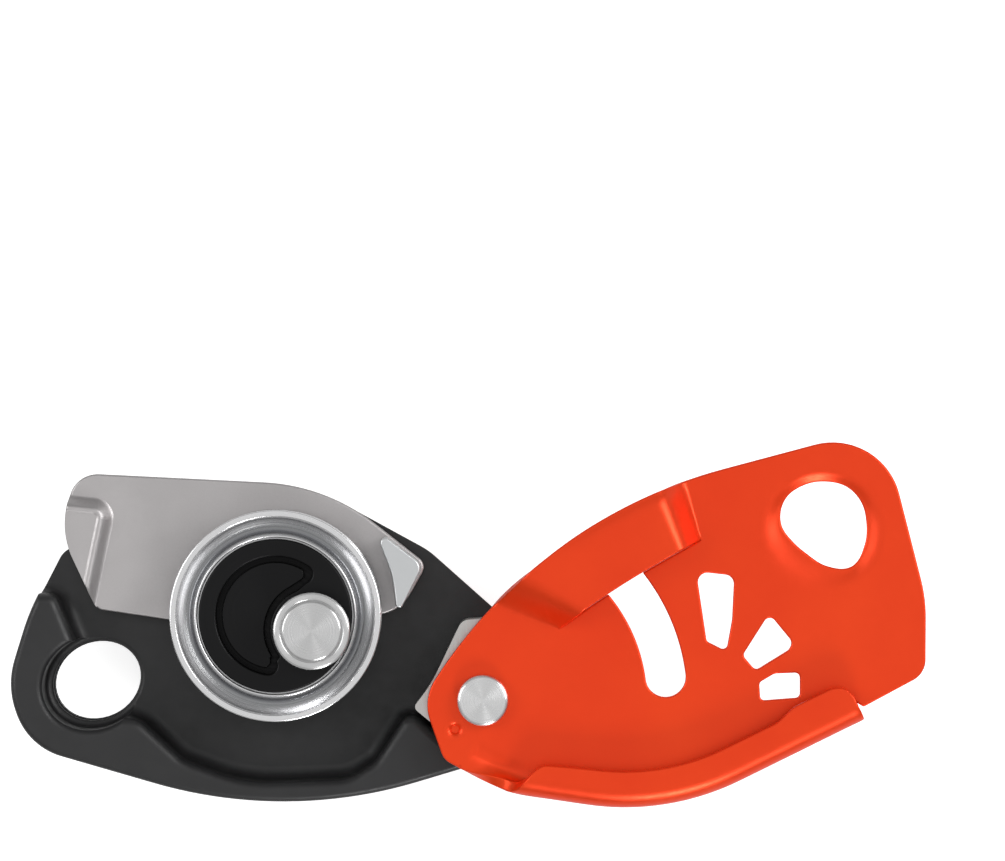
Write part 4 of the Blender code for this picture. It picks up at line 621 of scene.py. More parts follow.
# Friction shoe
# A channel bent from 2.4 mm stainless strip round the rivet; the rope is pinched against its rounded
# left face. Ground and tumbled, with a dowel, a spacer sleeve and an acetal washer in its stack.
ground = new_finish("ground_stainless_steel", "#C9C7C4", 1.0, 0.30)
GRINDING = (1.0, 0.08, 1.0)
uneven_sheen(ground, 0.3, 0.24, 0.42, GRINDING)
fine_relief(ground, 0.3, 0.006, 0.4, stretch=GRINDING)
hand_over_eased("friction_shoe_bent", 0.35, ground, "frame", "stainless", "friction_shoe")

acetal = new_finish("white_acetal", "#D9D6CC", 0.0, 0.38)
uneven_sheen(acetal, 1.5, 0.32, 0.45)
shader = skin(acetal)[1]
shader.inputs["Subsurface Weight"].default_value = 0.08
shader.inputs["Subsurface Radius"].default_value = (0.002, 0.002, 0.002)
for node, finish, slot in (
    ("shoe_pin", steel, "steel"), ("rivet_spacer", steel, "steel"), ("rivet_washer", acetal, "acetal"),
):
    hand_over_eased(node + "_turned", 0.0, finish, "frame", slot, node)

# Cam axle and nut
# Mushroom-headed axle turned from steel bar: a matt ring round a raised, spun centre, a neck for the
# orange plate's slot, and a hexagon nut behind. The cam and the handle's driver turn on it.


def turned_finish(name, colour, centre, roughness, shine, ring_mm, metallic=1.0, painted_shade_bands=()):
    """Turned metal: rings of tool marks about a centre, whose sheen opens out along the radius.

    The bands are radii in millimetres and their colours, a ramp of painted shade that darkens the metal
    where its turned profile lies in shade.
    """
    material = new_finish(name, colour, metallic, roughness)
    tree, shader, place = skin(material)
    centred = add(tree, "ShaderNodeMapping", {"Vector": place, "Location": (-centre[0], -centre[1], 0.0)})
    flat = add(tree, "ShaderNodeVectorMath", {
        0: centred.outputs[0], 1: (1.0, 1.0, 0.0),
    }, operation="MULTIPLY")
    reach = add(tree, "ShaderNodeVectorMath", {0: flat.outputs[0]}, operation="LENGTH").outputs["Value"]
    rings = add(tree, "ShaderNodeTexNoise", {
        "W": reach, "Scale": 1.0 / (ring_mm * MM), "Detail": 2.0,
    }, noise_dimensions="1D").outputs["Fac"]
    sheen = add(tree, "ShaderNodeMapRange", {
        "Value": rings, "From Min": NOISE_LOW, "From Max": NOISE_HIGH,
        "To Min": roughness - 0.05, "To Max": roughness + 0.07,
    })
    tree.links.new(sheen.outputs[0], shader.inputs["Roughness"])
    bump = add(tree, "ShaderNodeBump", {"Height": rings, "Distance": 0.006 * MM, "Strength": 0.5})
    tree.links.new(bump.outputs[0], shader.inputs["Normal"])
    outward = add(tree, "ShaderNodeVectorTransform", {0: flat.outputs[0]},
                  vector_type="VECTOR", convert_from="OBJECT", convert_to="WORLD")
    tree.links.new(outward.outputs[0], shader.inputs["Tangent"])
    shader.inputs["Anisotropic"].default_value = shine
    # Painted shade: where bands are given, the base colour follows a ramp by radius that darkens the metal
    # where its profile lies in shade.
    if painted_shade_bands:
        share = add(tree, "ShaderNodeMapRange", {
            "Value": reach, "From Min": painted_shade_bands[0][0] * MM, "From Max": painted_shade_bands[-1][0] * MM,
        })
        shade_ramp = add(tree, "ShaderNodeValToRGB", {0: share.outputs[0]})
        for index, (radius, tint) in enumerate(painted_shade_bands):
            at = (radius - painted_shade_bands[0][0]) / (painted_shade_bands[-1][0] - painted_shade_bands[0][0])
            stop = shade_ramp.color_ramp.elements[index] if index < 2 else shade_ramp.color_ramp.elements.new(at)
            stop.position, stop.color = at, hex_colour(tint)
        tree.links.new(shade_ramp.outputs[0], shader.inputs["Base Color"])
    return material


AXLE_PROFILE = [
    (0.0, 40.0), (5.25, 40.0), (5.5, 39.94), (5.68, 39.8), (5.76, 39.6), (5.84, 39.52), (5.94, 39.56),
    (6.02, 39.74), (6.16, 39.8), (6.95, 39.8), (7.2, 39.72), (7.35, 39.56), (7.4, 39.3), (7.4, 37.4),
    (7.33, 37.2), (7.1, 37.1), (3.5, 37.1), (3.5, 34.1), (3.7, 34.1), (4.0, 33.8), (4.0, 5.1), (2.8, 5.1),
    (2.8, 1.35), (2.6, 1.15), (0.0, 1.15),
]
axle_steel = turned_finish("turned_steel_axle", "#D2D2D2", AXLE, 0.28, 0.8, 0.28)
axle = turned("cam_axle_turned", AXLE_PROFILE, AXLE, 144)
hand_over(axle, axle_steel, "frame", "bright_steel", "cam_axle", sharp=50.0)
hand_over_eased("axle_nut", 0.25, steel, "frame", "steel", "axle_back_nut")
hand_over_eased("cam_washer_flat", 0.0, acetal, "frame", "acetal", "cam_washer")

# Cam plate
# Stamped from 2.5 mm stainless sheet and bead blasted to an even soft grey. Its tail is stiffened by
# a raised corner with a sloping border; its edges are rolled over by the blanking tool.
TAIL_OUTLINE = (
    (-16.3, 15.9, 8.0), (-10.9, 25.75, 2.2), (-30.5, 41.1, 38.0), (-78.9, 43.5, 5.5), (-82.2, 32.5, 16.0),
    (-74.9, 16.9, 2.0),
)
DISC_RADIUS, DISC_START, DISC_END = 19.3, 184.0, 326.0
RAISED_OUTLINE = (
    (-92.0, 40.2, 0.0), (-80.0, 39.5, 20.0), (-70.6, 38.5, 4.2), (-75.6, 14.5, 0.0), (-92.0, 14.5, 0.0),
)
CAM_BACK, CAM_FRONT, RAISED_TOP, SHOULDER_RUN = 20.2, 22.7, 24.9, 2.8
cam_outline = fillet(TAIL_OUTLINE) + sweep(wheel_mm, DISC_RADIUS, DISC_START, DISC_END, 2.4)
cam = stacked("cam_plate_stamped", cam_outline, [
    (CAM_BACK, 0.25), (CAM_BACK + 0.08, 0.08), (CAM_BACK + 0.25, 0.0), *round_over(CAM_FRONT, 0.45),
])
rise = RAISED_TOP - CAM_FRONT
slope = [(CAM_FRONT - 0.04 + rise * smoothstep(i / 14.0), SHOULDER_RUN * i / 14.0) for i in range(15)]
for drop, run in ((0.06, 0.3), (0.2, 0.5), (0.3, 0.75)):
    slope.append((RAISED_TOP - drop, SHOULDER_RUN + run))
raised = stacked("raised_corner", fillet(RAISED_OUTLINE)[::-1], [(CAM_FRONT - 0.6, 0.0)] + slope)
carve(raised, stacked("tail_limit", cam_outline, [
    (CAM_FRONT - 1.0, 0.02), *[(h, d + 0.02) for h, d in round_over(RAISED_TOP + 0.05, 0.6)],
]), "INTERSECT")
bore(cam, AXLE_BORE, AXLE, CAM_BACK - 1.2, RAISED_TOP + 1.1, 64)
take_in(cam, raised)

# Bead blasting leaves fine round dimples of 0.1 to 0.2 mm, drawn at 0.3 mm: no streaks, a dull even
# grey with soft highlights on the edges.
blasted = new_finish("bead_blasted_stainless", "#B9B6B6", 1.0, 0.46)
mottle(blasted, 14.0, "#B4B1B1", "#BEBBBB")
uneven_sheen(blasted, 0.3, 0.40, 0.54)
fine_relief(blasted, 0.3, 0.018, 0.5, 3.0)
hand_over(cam, blasted, "cam", "blasted_stainless", "cam_plate", sharp=55.0)

# Cam nose
# Hardened block at the end of the cam plate that pinches the rope; its top is ground flat and
# lighter than the plate.
NOSE_OUTLINE = ((-16.55, 15.7, 0.75), (-11.5, 25.8, 2.2), (-21.0, 33.1, 1.0), (-17.3, 23.6, 20.0))
NOSE_BACK, NOSE_TOP = 23.0, 33.2
nose = stacked("cam_nose_block", fillet(NOSE_OUTLINE), [(NOSE_BACK, 0.0), *round_over(NOSE_TOP, 0.4)])
nose_steel = new_finish("ground_tool_steel", "#D0D2D3", 1.0, 0.36)
uneven_sheen(nose_steel, 0.4, 0.31, 0.44)
fine_relief(nose_steel, 0.4, 0.006, 0.4)
hand_over(nose, nose_steel, "cam", "stainless", "cam_nose")

# Wheel hub
# Eccentric hub turned and milled from black anodised alloy. A crescent recess is milled in its face
# round the axle, deeper along its border; the arcs of the mill stay faintly visible in its floor.
HUB_FRONT = 33.4
HUB_PROFILE = [
    (0.0, HUB_FRONT), (14.42, HUB_FRONT), (14.62, 33.35), (14.74, 33.22), (14.8, 33.0), (14.8, 31.6),
    (14.7, 31.5), (13.0, 31.5), (13.0, 23.0), (0.0, 23.0),
]
CRESCENT_RADIUS, CRESCENT_INNER, CRESCENT_TIP = 11.4, 8.2, 1.7
CRESCENT_FLOOR, ISLAND_TOP, CRESCENT_BORDER = 29.4, 32.0, 1.1
CRESCENT_ENDS, INNER_ENDS, TIP_TURN = (56.0, 262.0), (219.0, 111.0), 126.0


def crescent(border):
    """Outline of the crescent between the hub's face and the axle, drawn in by a border."""
    outer, inner = CRESCENT_RADIUS - border, CRESCENT_INNER + border
    tip = CRESCENT_TIP - 0.35 * border
    in_outer, in_inner = math.degrees(border / outer), math.degrees(border / inner)
    start, end = CRESCENT_ENDS[0] + in_outer, CRESCENT_ENDS[1] - in_outer
    points = sweep(hub_mm, outer, start, end)
    points += sweep(polar(outer - tip, end, hub_mm), tip, end, end + TIP_TURN, 12.0)[1:]
    points += sweep(axle_mm, inner, INNER_ENDS[0] - in_inner, INNER_ENDS[1] + in_inner)
    points += sweep(polar(outer - tip, start, hub_mm), tip, start - TIP_TURN, start, 12.0)[:-1]
    return points


hub = turned("wheel_hub_turned", HUB_PROFILE, HUB, 160)
carve(hub, stacked("crescent", crescent(0.0), [
    (CRESCENT_FLOOR, 0.0), *flare_levels(HUB_FRONT + 0.01, 0.45), (HUB_FRONT + 0.2, -0.6),
]))
bore(hub, AXLE_BORE, AXLE, 20.0, HUB_FRONT + 2.6, 64)
take_in(hub, stacked("island", crescent(CRESCENT_BORDER), [
    (CRESCENT_FLOOR - 0.4, 0.0), *round_over(ISLAND_TOP, 0.25, 3),
]))
hub_black = turned_finish("black_anodised_turned_alloy", "#121213", HUB, 0.36, 0.35, 0.6, metallic=0.7)
hand_over(hub, hub_black, "cam", "black_alloy", "wheel_hub")
hand_over_eased("drive_pin_turned", 0.0, steel, "cam", "steel", "drive_pin")
hand_over_eased("hub_screws", 0.0, steel, "cam", "steel", "hub_screw_1", "hub_screw_2")

# Rope wheel
# Turned from stainless bar: a bright bead at the mouth, a dished web, a fine tool line and a flat
# brushed rim, with the rope groove round it. It runs on an acetal bush and thrust washer.


def eased_line(points, steps):
    """Smooth line through points (Catmull-Rom)."""
    padded = [points[0], *points, points[-1]]
    result = []
    for a, b, c, d in zip(padded, padded[1:], padded[2:], padded[3:]):
        a, b, c, d = (Vector(p) for p in (a, b, c, d))
        for i in range(steps):
            t = i / steps
            result.append(tuple(0.5 * (2 * b + (c - a) * t + (2 * a - 5 * b + 4 * c - d) * t * t
                                       + (3 * b - 3 * c + d - a) * t ** 3)))
    return result + [points[-1]]


GROOVE_RADIUS, GROOVE_AXIS, GROOVE_MIDDLE, GROOVE_HALF = 4.3, 21.4, 28.85, 75.0
wheel_profile = [(14.7, 31.2), (15.1, 31.2), (15.1, 33.05), (15.14, 33.24), (15.26, 33.37), (15.42, 33.4)]
wheel_profile += eased_line([
    (15.56, 33.34), (15.74, 33.08), (15.92, 32.6), (16.15, 32.05), (16.5, 31.72), (16.9, 31.66),
    (17.3, 31.82), (17.75, 32.12), (18.15, 32.5), (18.55, 32.95), (18.85, 33.35), (18.98, 33.55),
], 4)
wheel_profile += [
    (19.02, 33.42), (19.08, 33.42), (19.12, 33.64), (19.2, 33.76), (19.34, 33.8), (20.08, 33.8),
    (20.26, 33.75), (20.37, 33.62), (20.4, 33.45),
]
wheel_profile += sweep(
    (GROOVE_AXIS, GROOVE_MIDDLE), GROOVE_RADIUS, 180.0 - GROOVE_HALF, 180.0 + GROOVE_HALF, 6.25
)
wheel_profile += [(20.4, 24.25), (20.3, 24.0), (20.05, 23.9), (14.7, 23.9)]
wheel = turned("rope_wheel_turned", wheel_profile, WHEEL, 192)
# Painted shade: the colour bands darken the dished web, darkest from 16.3 to 16.8 mm, and the tool line at
# 18.85 mm; elsewhere they stay near the steel's own bright grey.
wheel_steel = turned_finish("turned_stainless_wheel", "#E2E2E3", WHEEL, 0.24, 0.4, 0.22, painted_shade_bands=(
    (15.3, "#DCDCDD"), (15.9, "#C4C4C5"), (16.3, "#85868A"), (16.8, "#8A8B8D"), (17.5, "#BFC0C1"),
    (18.3, "#E0E0E1"), (18.85, "#B4B4B5"), (19.15, "#E6E6E7"),
))
hand_over(wheel, wheel_steel, "rope_wheel", "bright_steel", "wheel", sharp=50.0)
for node in ("wheel_bush", "wheel_thrust_washer"):
    hand_over_eased(node + "_turned", 0.0, acetal, "rope_wheel", "acetal", node)

# Moving side plate
# Pressed from 2.2 mm alloy sheet and lacquered orange: a flat web with a lip rolled over its lower
# edge, a raised bridge over the slot's mouth, a dished attachment opening and three windows.
SHEET, SHEET_MIDDLE = 2.2, 35.6
LIP_LINE = ((-7.5, -11.35, 0.0), (3.2, -17.5, 30.0), (35.4, -22.2, 50.0), (73.2, -3.6, 0.0))
RIGHT_CORNERS = ((73.1, -1.3, 0.6), (85.0, 5.1, 4.5), (85.1, 19.5, 30.0), (76.7, 52.5, 13.2))
CREST = (11.1, 35.0, 95.0)
HEEL = ((-11.6, 0.2, 9.0), (-7.5, -11.35, 3.5))
LIP_START, LIP_ROOT_BOW, LIP_GROWTH, ROLL_SHARE, WIDEN_START = 3.4, 0.1, 17.0, 0.60, 0.55
LIP_RADIUS, LIP_LAND, LAND_GAIN, GAIN_RUN = 3.6, 2.1, 1.3, 30.0
TAB_LAND, TAB_LENGTH, TAB_CORNER, TAB_DROP = 4.7, 16.0, 4.0, 3.4
LIP_RINGS, LIP_SPACING, APRON_WIDTH, APRON_STEPS = 20, 0.62, 4.2, 8
SCOOP_DEPTH, SCOOP_FROM, SCOOP_TO, SCOOP_WIDTH = 0.75, 1.0, 19.0, 1.7
BRIDGE_RISE, BRIDGE_FEET = 5.9, ((14.3, 13.6), (41.9, 30.8))
BRIDGE_BOW, BRIDGE_GAP, BRIDGE_ANGLES = 0.6, 0.2, (136.6, 109.5)
LEFT_RAMP, RIGHT_RAMP, BAND_WIDTH, BAND_DROP = 0.22, 0.16, 2.6, 0.75
BRIDGE_STATIONS, BRIDGE_ROWS = 72, 18
BAND_FROM, BAND_FULL = 0.25, 0.55
EDGE_STRIP, COINED_EDGE = 0.45, 0.32
PIVOT, AXLE_REACH, SLOT_HALF, SLOT_END, MOUTH_GAP, FOOT_GAP = (0.0, 0.0), 35.4, 3.85, 7.2, 0.15, 0.2
DISH_AT = polar(74.3, 27.25)
DISH_RADIUS, DISH_SHIFT, DISH_SINK, DISH_RINGS, DISH_STEPS = 12.1, (-0.8, -1.6), 1.0, 9, 120
OPENING = (7.7, 7.8, 8.0, 8.0, 8.5, 9.2, 8.8, 7.4, 7.1, 8.3, 9.7, 8.5)
WINDOWS = (
    ((41.0, 24.7, 1.8), (48.3, 23.9, 1.8), (47.9, 15.5, 10.0), (46.8, 9.4, 0.9), (43.0, 11.3, 1.0)),
    ((55.0, 16.6, 1.2), (59.6, 11.0, 1.5), (58.7, 9.6, 1.2), (52.4, 5.7, 1.0), (49.9, 8.6, 1.0)),
    ((53.1, 3.4, 0.9), (56.0, 5.1, 2.0), (60.9, 5.3, 1.0), (60.9, 0.5, 0.9), (53.3, -0.1, 0.9)),
)
DIMPLE_AT, DIMPLE_RADIUS, DIMPLE_DEPTH, DIMPLE_WALL = (-5.3, -5.6), 1.8, 0.6, 0.3


def spaced(points, spacing):
    """Points at an even spacing along an open line, and its length."""
    lengths = [0.0]
    for first, second in zip(points, points[1:]):
        lengths.append(lengths[-1] + math.dist(first, second))
    count = max(2, round(lengths[-1] / spacing))
    result, index = [], 0
    for step in range(count + 1):
        target = lengths[-1] * step / count
        while index < len(points) - 2 and lengths[index + 1] < target:
            index += 1
        share = (target - lengths[index]) / (lengths[index + 1] - lengths[index])
        result.append(Vector(points[index]).lerp(Vector(points[index + 1]), share))
    return result, lengths[-1]


def scoop(distance, inward):
    """Depth of the pressed scoop where the lip starts, by the run along the lip and in from its bend."""
    along = (distance - SCOOP_FROM) / (SCOOP_TO - SCOOP_FROM)
    if not 0.0 < along < 1.0:
        return 0.0
    return SCOOP_DEPTH * math.sin(math.pi * along) ** 1.2 * math.exp(-((inward - 0.5) / SCOOP_WIDTH) ** 2)


line, line_length = spaced(fillet(LIP_LINE, closed=False, step=2.0), LIP_SPACING)
middle_radius = LIP_RADIUS - SHEET / 2.0
lip, apron = [], []
for index, point in enumerate(line):
    distance = line_length * index / (len(line) - 1)
    grown = (distance - LIP_START) / LIP_GROWTH
    if grown < 0.0:
        continue
    along = (line[min(index + 1, len(line) - 1)] - line[max(index - 1, 0)]).normalized()
    inward = Vector((-along.y, along.x))
    grown = grown if lip else 0.0
    roll = smoothstep(grown / ROLL_SHARE)
    left = line_length - distance
    land = LIP_LAND + LAND_GAIN * smoothstep((distance - LIP_START) / GAIN_RUN)
    land += (TAB_LAND - land) * smoothstep((TAB_LENGTH - left) / (0.35 * TAB_LENGTH))
    corner = max(0.0, 1.0 - left / TAB_CORNER)
    land -= TAB_DROP * (1.0 - math.sqrt(1.0 - corner * corner))
    curvature = max(roll, 0.01) / middle_radius
    narrow = math.asin(min(1.0, LIP_RADIUS / (1.0 / curvature + SHEET / 2.0))) / curvature
    wide = math.pi * middle_radius + land
    width = narrow + (wide - narrow) * smoothstep((grown - WIDEN_START) / (1.0 - WIDEN_START))
    row = []
    for ring in range(LIP_RINGS + 1):
        run = width * ring / LIP_RINGS
        bent = min(run, math.pi * middle_radius)
        out = math.sin(curvature * bent) / curvature + (run - bent) * math.cos(curvature * bent)
        up = (1.0 - math.cos(curvature * bent)) / curvature + (run - bent) * math.sin(curvature * bent)
        place = point + inward * (LIP_RADIUS - out)
        if not lip:
            up = 0.0
            place += along * LIP_ROOT_BOW * math.sin(math.pi * ring / LIP_RINGS)
        sunk = scoop(distance, -run) if lip else 0.0
        row.append((place.x, place.y, up - sunk))
    band = []
    for step in range(APRON_STEPS + 1):
        run = APRON_WIDTH * step / APRON_STEPS
        place = point + inward * (LIP_RADIUS + run)
        pressed = lip and step < APRON_STEPS and distance < line_length - 0.01
        depth = scoop(distance, run) * smoothstep((APRON_WIDTH - run) / 2.0) if pressed else 0.0
        band.append((place.x, place.y, -depth))
    lip.append(row)
    apron.append(band)

crest_line = fillet((RIGHT_CORNERS[-1], CREST, HEEL[0]), closed=False, step=1.5)[1:-1]
first, middle, last = (Vector(crest_line[i]) for i in (0, len(crest_line) // 2, -1))
across_one, across_two = (middle - first).orthogonal(), (last - middle).orthogonal()
gap = (middle + last) / 2.0 - (first + middle) / 2.0
share = (gap.x * across_two.y - gap.y * across_two.x) / (
    across_one.x * across_two.y - across_one.y * across_two.x
)
crest_centre = (first + middle) / 2.0 + across_one * share

foot_left, foot_right = (Vector(foot) for foot in BRIDGE_FEET)
aside = (foot_right - foot_left).orthogonal().normalized()
bridge, web_edge = [], []
for station in range(BRIDGE_STATIONS + 1):
    share = station / BRIDGE_STATIONS
    bow = math.sin(math.pi * share)
    straight = foot_left.lerp(foot_right, share)
    inner = straight + aside * (BRIDGE_BOW * bow + BRIDGE_GAP * min(1.0, 4.0 * bow))
    web_edge.append(straight + aside * BRIDGE_BOW * bow)
    degrees = BRIDGE_ANGLES[0] + (BRIDGE_ANGLES[1] - BRIDGE_ANGLES[0]) * share
    outer = Vector(polar(CREST[2], degrees, crest_centre))
    lift = smoothstep(share / LEFT_RAMP) * smoothstep((1.0 - share) / RIGHT_RAMP)
    reach = (outer - inner).length
    row = []
    for step in range(BRIDGE_ROWS + 1):
        run = reach * (1.0 - (1.0 - step / BRIDGE_ROWS) ** 1.25)
        band = smoothstep((run - (reach - BAND_WIDTH)) / BAND_WIDTH)
        place = inner.lerp(outer, run / reach)
        drop = BAND_DROP * band * lift * smoothstep((share - BAND_FROM) / (BAND_FULL - BAND_FROM))
        row.append((place.x, place.y, BRIDGE_RISE * lift - drop))
    bridge.append(row)


def heading(point, centre):
    """Angle of a point about a centre."""
    return math.degrees(math.atan2(point[1] - centre[1], point[0] - centre[0]))


def crossing(radius):
    """Where the web's edge below the bridge meets a radius about the rivet."""
    for one, two in zip(web_edge, web_edge[1:]):
        if one.length < radius <= two.length:
            place = one.lerp(two, (radius - one.length) / (two.length - one.length))
            return (place.x, place.y)


def opening_radius(degrees):
    """Radius of the rounded three-sided attachment opening, on a smooth line through its radii."""
    place = degrees / 360.0 * len(OPENING)
    index = int(place)
    share = place - index
    before, low, high, after = (OPENING[(index + step) % len(OPENING)] for step in (-1, 0, 1, 2))
    square, cube = share * share, share ** 3
    eased = (high - before) / 2.0 * (cube - 2.0 * square + share) + (after - low) / 2.0 * (cube - square)
    return low + (high - low) * smoothstep(share) + eased


dish = []
for ring in range(DISH_RINGS + 1):
    share = ring / DISH_RINGS
    row = []
    for step in range(DISH_STEPS):
        degrees = 360.0 * step / DISH_STEPS
        inner = Vector(polar(opening_radius(degrees), degrees, DISH_AT))
        outer = Vector(polar(DISH_RADIUS, degrees, Vector(DISH_AT) + Vector(DISH_SHIFT)))
        place = inner.lerp(outer, share)
        row.append((place.x, place.y, -DISH_SINK * (1.0 - smoothstep(share))))
    dish.append(row)
dimple = []
for share in (1.0, 0.92, 0.84, 0.75, 0.65, 0.55, 0.45, 0.34, 0.22, 0.1):
    depth = DIMPLE_DEPTH * smoothstep(min(1.0, (1.0 - share) / DIMPLE_WALL))
    dimple.append([(*polar(DIMPLE_RADIUS * share, 10.0 * i, DIMPLE_AT), -depth) for i in range(36)])

outline = [row[-1][:2] for row in apron]
outline += [point[:2] for point in reversed(apron[-1][:-1])]
right_line = fillet((outline[-1] + (0.0,),) + RIGHT_CORNERS + (CREST, HEEL[0]), closed=False, step=5.0)[1:]
foot_heading = heading(bridge[-1][-1], crest_centre)
for point in right_line:
    on_crest = abs(math.dist(point, crest_centre) - CREST[2]) < 0.2
    if on_crest and heading(point, crest_centre) > foot_heading - FOOT_GAP:
        break
    outline.append(point)
outline += [point[:2] for point in reversed(bridge[-1])]
SLOT_OUTER, SLOT_INNER = AXLE_REACH + SLOT_HALF, AXLE_REACH - SLOT_HALF
outer_mouth, inner_mouth = crossing(SLOT_OUTER), crossing(SLOT_INNER)
outline += [tuple(p) for p in reversed(web_edge) if math.hypot(*p) > SLOT_OUTER + MOUTH_GAP][1:]
outline += sweep(PIVOT, SLOT_OUTER, heading(outer_mouth, PIVOT), SLOT_END, 1.5)
outline += sweep(polar(AXLE_REACH, SLOT_END), SLOT_HALF, SLOT_END, SLOT_END - 180.0, 8.0)[1:-1]
outline += sweep(PIVOT, SLOT_INNER, SLOT_END, heading(inner_mouth, PIVOT), 1.5)
outline += [tuple(p) for p in reversed(web_edge) if math.hypot(*p) < SLOT_INNER - MOUTH_GAP][:-1]
outline += [point[:2] for point in bridge[0]]
foot_heading = heading(bridge[0][-1], crest_centre)
outline += [point for point in crest_line if heading(point, crest_centre) > foot_heading + FOOT_GAP]
tip = lip[0][-1]
outline += fillet(((*outline[-1], 0.0),) + HEEL + ((tip[0], tip[1], 0.0),), closed=False)[1:-1]
outline += [point[:2] for point in reversed(lip[0][1:])]
outline += [point[:2] for point in apron[0][:-1]]

sheet_outlines = [
    outline, [point[:2] for point in dish[-1]], [point[:2] for point in dimple[0]],
    sweep(PIVOT, RIVET_BORE, 0.0, 360.0, 6.0)[:-1],
] + [fillet(window)[::-1] for window in WINDOWS]


def inner_loop(outline, distance):
    """The outline drawn in, with each corner that this tangles gathered to one point."""
    loop = [Vector(point) for point in drawn_in(outline, distance)]
    count = len(loop)
    for i in range(count):
        for span in range(2, 6):
            a, b = loop[i - 1], loop[i]
            c, d = loop[(i + span - 1) % count], loop[(i + span) % count]
            whole = min((a - b).length, (c - d).length, (b - c).length) > 1e-6
            if whole and intersect_line_line_2d(a, b, c, d):
                knot = sum((loop[k % count] for k in range(i, i + span)), Vector((0.0, 0.0))) / span
                for k in range(i, i + span):
                    loop[k % count] = knot
    return [tuple(point) for point in loop]


def filled(outlines):
    """Flat faces between closed outlines."""
    curve = bpy.data.curves.new("outlines", "CURVE")
    curve.dimensions = "2D"
    curve.fill_mode = "BOTH"
    for outline in outlines:
        loop = [point for i, point in enumerate(outline) if math.dist(point, outline[i - 1]) > 1e-4]
        spline = curve.splines.new("POLY")
        spline.points.add(len(loop) - 1)
        spline.use_cyclic_u = True
        for point, (x, y) in zip(spline.points, loop):
            point.co = (x * MM, y * MM, 0.0, 1.0)
    holder = in_scene("outlines", curve)
    bpy.context.view_layer.update()
    evaluated = holder.evaluated_get(bpy.context.evaluated_depsgraph_get())
    mesh = bpy.data.meshes.new_from_object(evaluated)
    bpy.data.objects.remove(holder, do_unlink=True)
    shape = bmesh.new()
    shape.from_mesh(mesh)
    bmesh.ops.remove_doubles(shape, verts=shape.verts, dist=1e-6)
    return shape


inner_loops = [inner_loop(sheet_outlines[0], EDGE_STRIP)]
inner_loops += [inner_loop(hole, -EDGE_STRIP) for hole in sheet_outlines[1:]]
shape = filled(inner_loops)
patches = [
    ([[(*point, 0.0) for point in loop] for loop in strip], True)
    for strip in zip(sheet_outlines, inner_loops)
]
patches += [(lip, False), (apron, False), (bridge, False), (dish, True), (dimple, True)]
for rows, closed in patches:
    grid = [[shape.verts.new(tuple(c * MM for c in point)) for point in row] for row in rows]
    for first, second in zip(grid, grid[1:]):
        for i in range(len(first) if closed else len(first) - 1):
            j = (i + 1) % len(first)
            shape.faces.new((first[i], first[j], second[j], second[i]))
shape.faces.new([shape.verts.new(tuple(c * MM for c in point)) for point in dimple[-1]])
bmesh.ops.remove_doubles(shape, verts=shape.verts, dist=2e-5)
bmesh.ops.recalc_face_normals(shape, faces=shape.faces)
if sum(face.normal.z * face.calc_area() for face in shape.faces) < 0.0:
    bmesh.ops.reverse_faces(shape, faces=shape.faces)
bmesh.ops.translate(shape, verts=shape.verts, vec=(RIVET.x, RIVET.y, SHEET_MIDDLE * MM))
side_plate = as_piece("side_plate_pressing", shape)
thick = side_plate.modifiers.new("sheet", "SOLIDIFY")
thick.thickness = SHEET * MM
thick.offset = 0.0
thick.use_even_offset = True
ease(side_plate, COINED_EDGE, 50.0, use_clamp_overlap=False)

# Lacquer over blasted alloy: a saturated orange-red with a satin sheen, slight orange peel of about
# a millimetre, and barely uneven colour.
lacquer = new_finish("orange_lacquered_aluminium", "#E83F10", 0.52, 0.34)
mottle(lacquer, 22.0, "#E33A0C", "#EA4110")
uneven_sheen(lacquer, 1.6, 0.31, 0.38)
skin(lacquer)[1].inputs["IOR"].default_value = 1.45
fine_relief(lacquer, 1.1, 0.01, 0.2, 1.0)
hand_over(side_plate, lacquer, "side_plate", "orange_plate", "moving_side_plate", sharp=60.0)

# Plate rivet
# Bright steel rivet that the orange plate swings on, its flat head spun smooth with a polished
# chamfer; a steel collar takes its tail behind the fixed plate.
RIVET_PROFILE = [
    (0.0, 39.0), (4.2, 39.0), (4.42, 38.96), (4.68, 38.8), (4.84, 38.6), (4.9, 38.4), (4.9, 37.15),
    (4.8, 37.0), (3.0, 37.0), (3.0, 10.0), (2.85, 9.78), (2.6, 9.7), (0.0, 9.7),
]
rivet_steel = turned_finish("spun_steel_rivet", "#DCDCDC", RIVET, 0.28, 0.8, 0.30)
rivet = turned("plate_rivet_spun", RIVET_PROFILE, RIVET, 128)
hand_over(rivet, rivet_steel, "frame", "bright_steel", "plate_rivet", sharp=50.0)
hand_over_eased("rivet_collar", 0.2, steel, "frame", "steel", "rivet_back_collar")

# Handle driver
# Cranked link moulded in black nylon on the back: its hub turns on the cam axle with the cam, and
# its arm carries the pivot of the folding handle.
handle_nylon = new_finish("moulded_handle_nylon", "#161617", 0.0, 0.44)
uneven_sheen(handle_nylon, 1.8, 0.38, 0.50)
mottle(handle_nylon, 8.0, "#141415", "#19191A")
fine_relief(handle_nylon, 0.35, 0.018, 0.5, 3.0)
hand_over_eased("driver_moulding", 0.4, handle_nylon, "driver", "handle_nylon", "handle_driver")
hand_over_eased("handle_pivot", 0.15, steel, "driver", "steel", "handle_pivot_pin")
hand_over_eased("pivot_washer", 0.0, acetal, "driver", "acetal", "handle_pivot_washer")

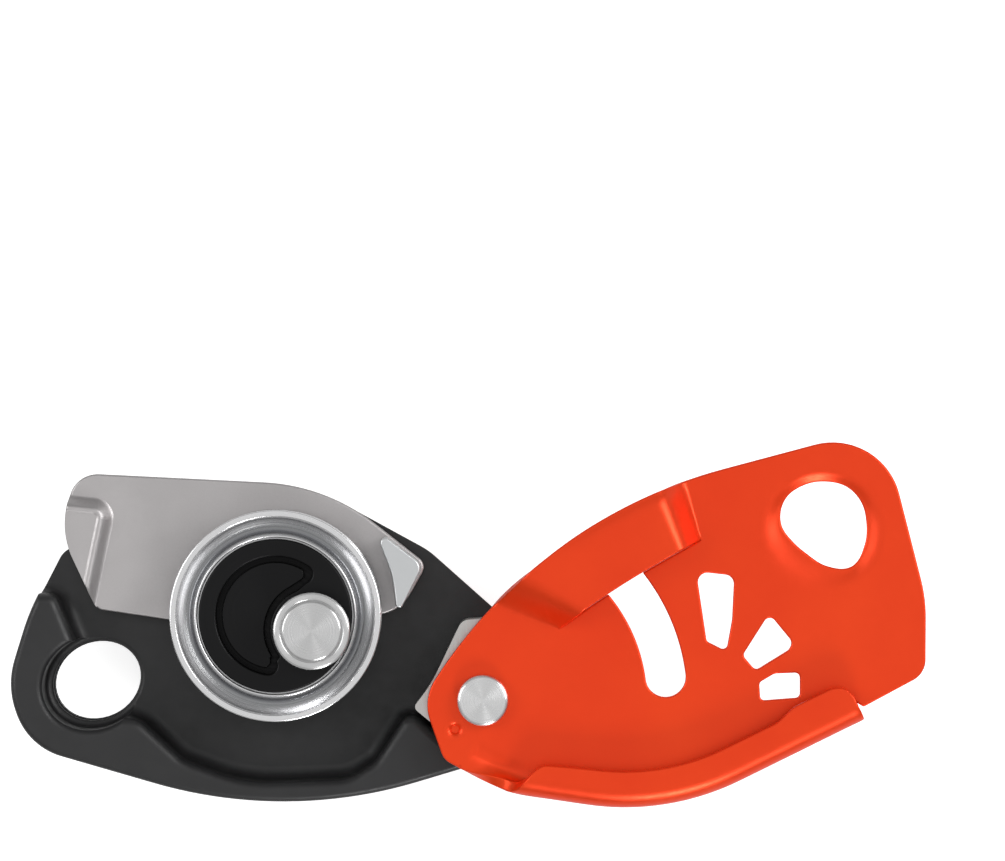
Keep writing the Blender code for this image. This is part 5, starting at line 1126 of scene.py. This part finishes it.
# Folding handle
# Lever moulded in the same nylon, thin where it laps over the pivot and full depth at the grip, with
# a ribbed rubber pad pressed into its back. The ribs are set along the pad by Geometry Nodes.
hand_over_eased("handle_moulding", 0.4, handle_nylon, "lever", "handle_nylon", "handle_lever")
rubber = new_finish("moulded_rubber", "#3A3A3C", 0.0, 0.72)
uneven_sheen(rubber, 0.6, 0.64, 0.80)
fine_relief(rubber, 0.3, 0.012, 0.5)
pad = eased_copy("handle_pad", ["handle_insert"], 0.25)
HANDLE_DEGREES, RIB_COUNT, RIB_PITCH, RIB_RADIUS, RIB_LENGTH, RIB_DEPTH = 186.0, 9, 1.75, 0.42, 5.2, 0.12
pad_middle, pad_back = box_middle("handle_insert").xy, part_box("handle_insert")[0][2]
rib_points = []
for i in range(RIB_COUNT):
    run = (i - (RIB_COUNT - 1) / 2.0) * RIB_PITCH * MM
    rib_points.append((*polar(run, HANDLE_DEGREES, pad_middle), pad_back + RIB_DEPTH * MM))
tree, given, keys = new_tree("ribs on pad", "Rib Radius", "Rib Length", "Rib Turn")
ball = add(tree, "GeometryNodeMeshUVSphere", {"Segments": 20, "Rings": 12, "Radius": 1.0})
girth = given.outputs["Rib Radius"]
size = add(tree, "ShaderNodeCombineXYZ", {
    "X": girth, "Y": scaled(tree, given.outputs["Rib Length"], 0.5), "Z": scaled(tree, girth, 0.9),
})
turn = add(tree, "ShaderNodeCombineXYZ", {"Z": given.outputs["Rib Turn"]})
end_tree(tree, given.outputs["Geometry"], ball.outputs["Mesh"], rubber,
         Rotation=turn.outputs[0], Scale=size.outputs[0])
ribs = run_tree("handle_pad_ribs", rib_points, tree, keys, {
    "Rib Radius": RIB_RADIUS * MM, "Rib Length": RIB_LENGTH * MM, "Rib Turn": math.radians(HANDLE_DEGREES),
})
take_in(pad, ribs)
hand_over(pad, rubber, "lever", "rubber", "handle_insert")

# Cam return spring
# Torsion spring coiled from 1 mm steel wire round the axle, in the driver's pocket; it opens the
# cam. It keeps its CAD shape.
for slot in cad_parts["cam_return_spring"].material_slots:
    slot.material = steel
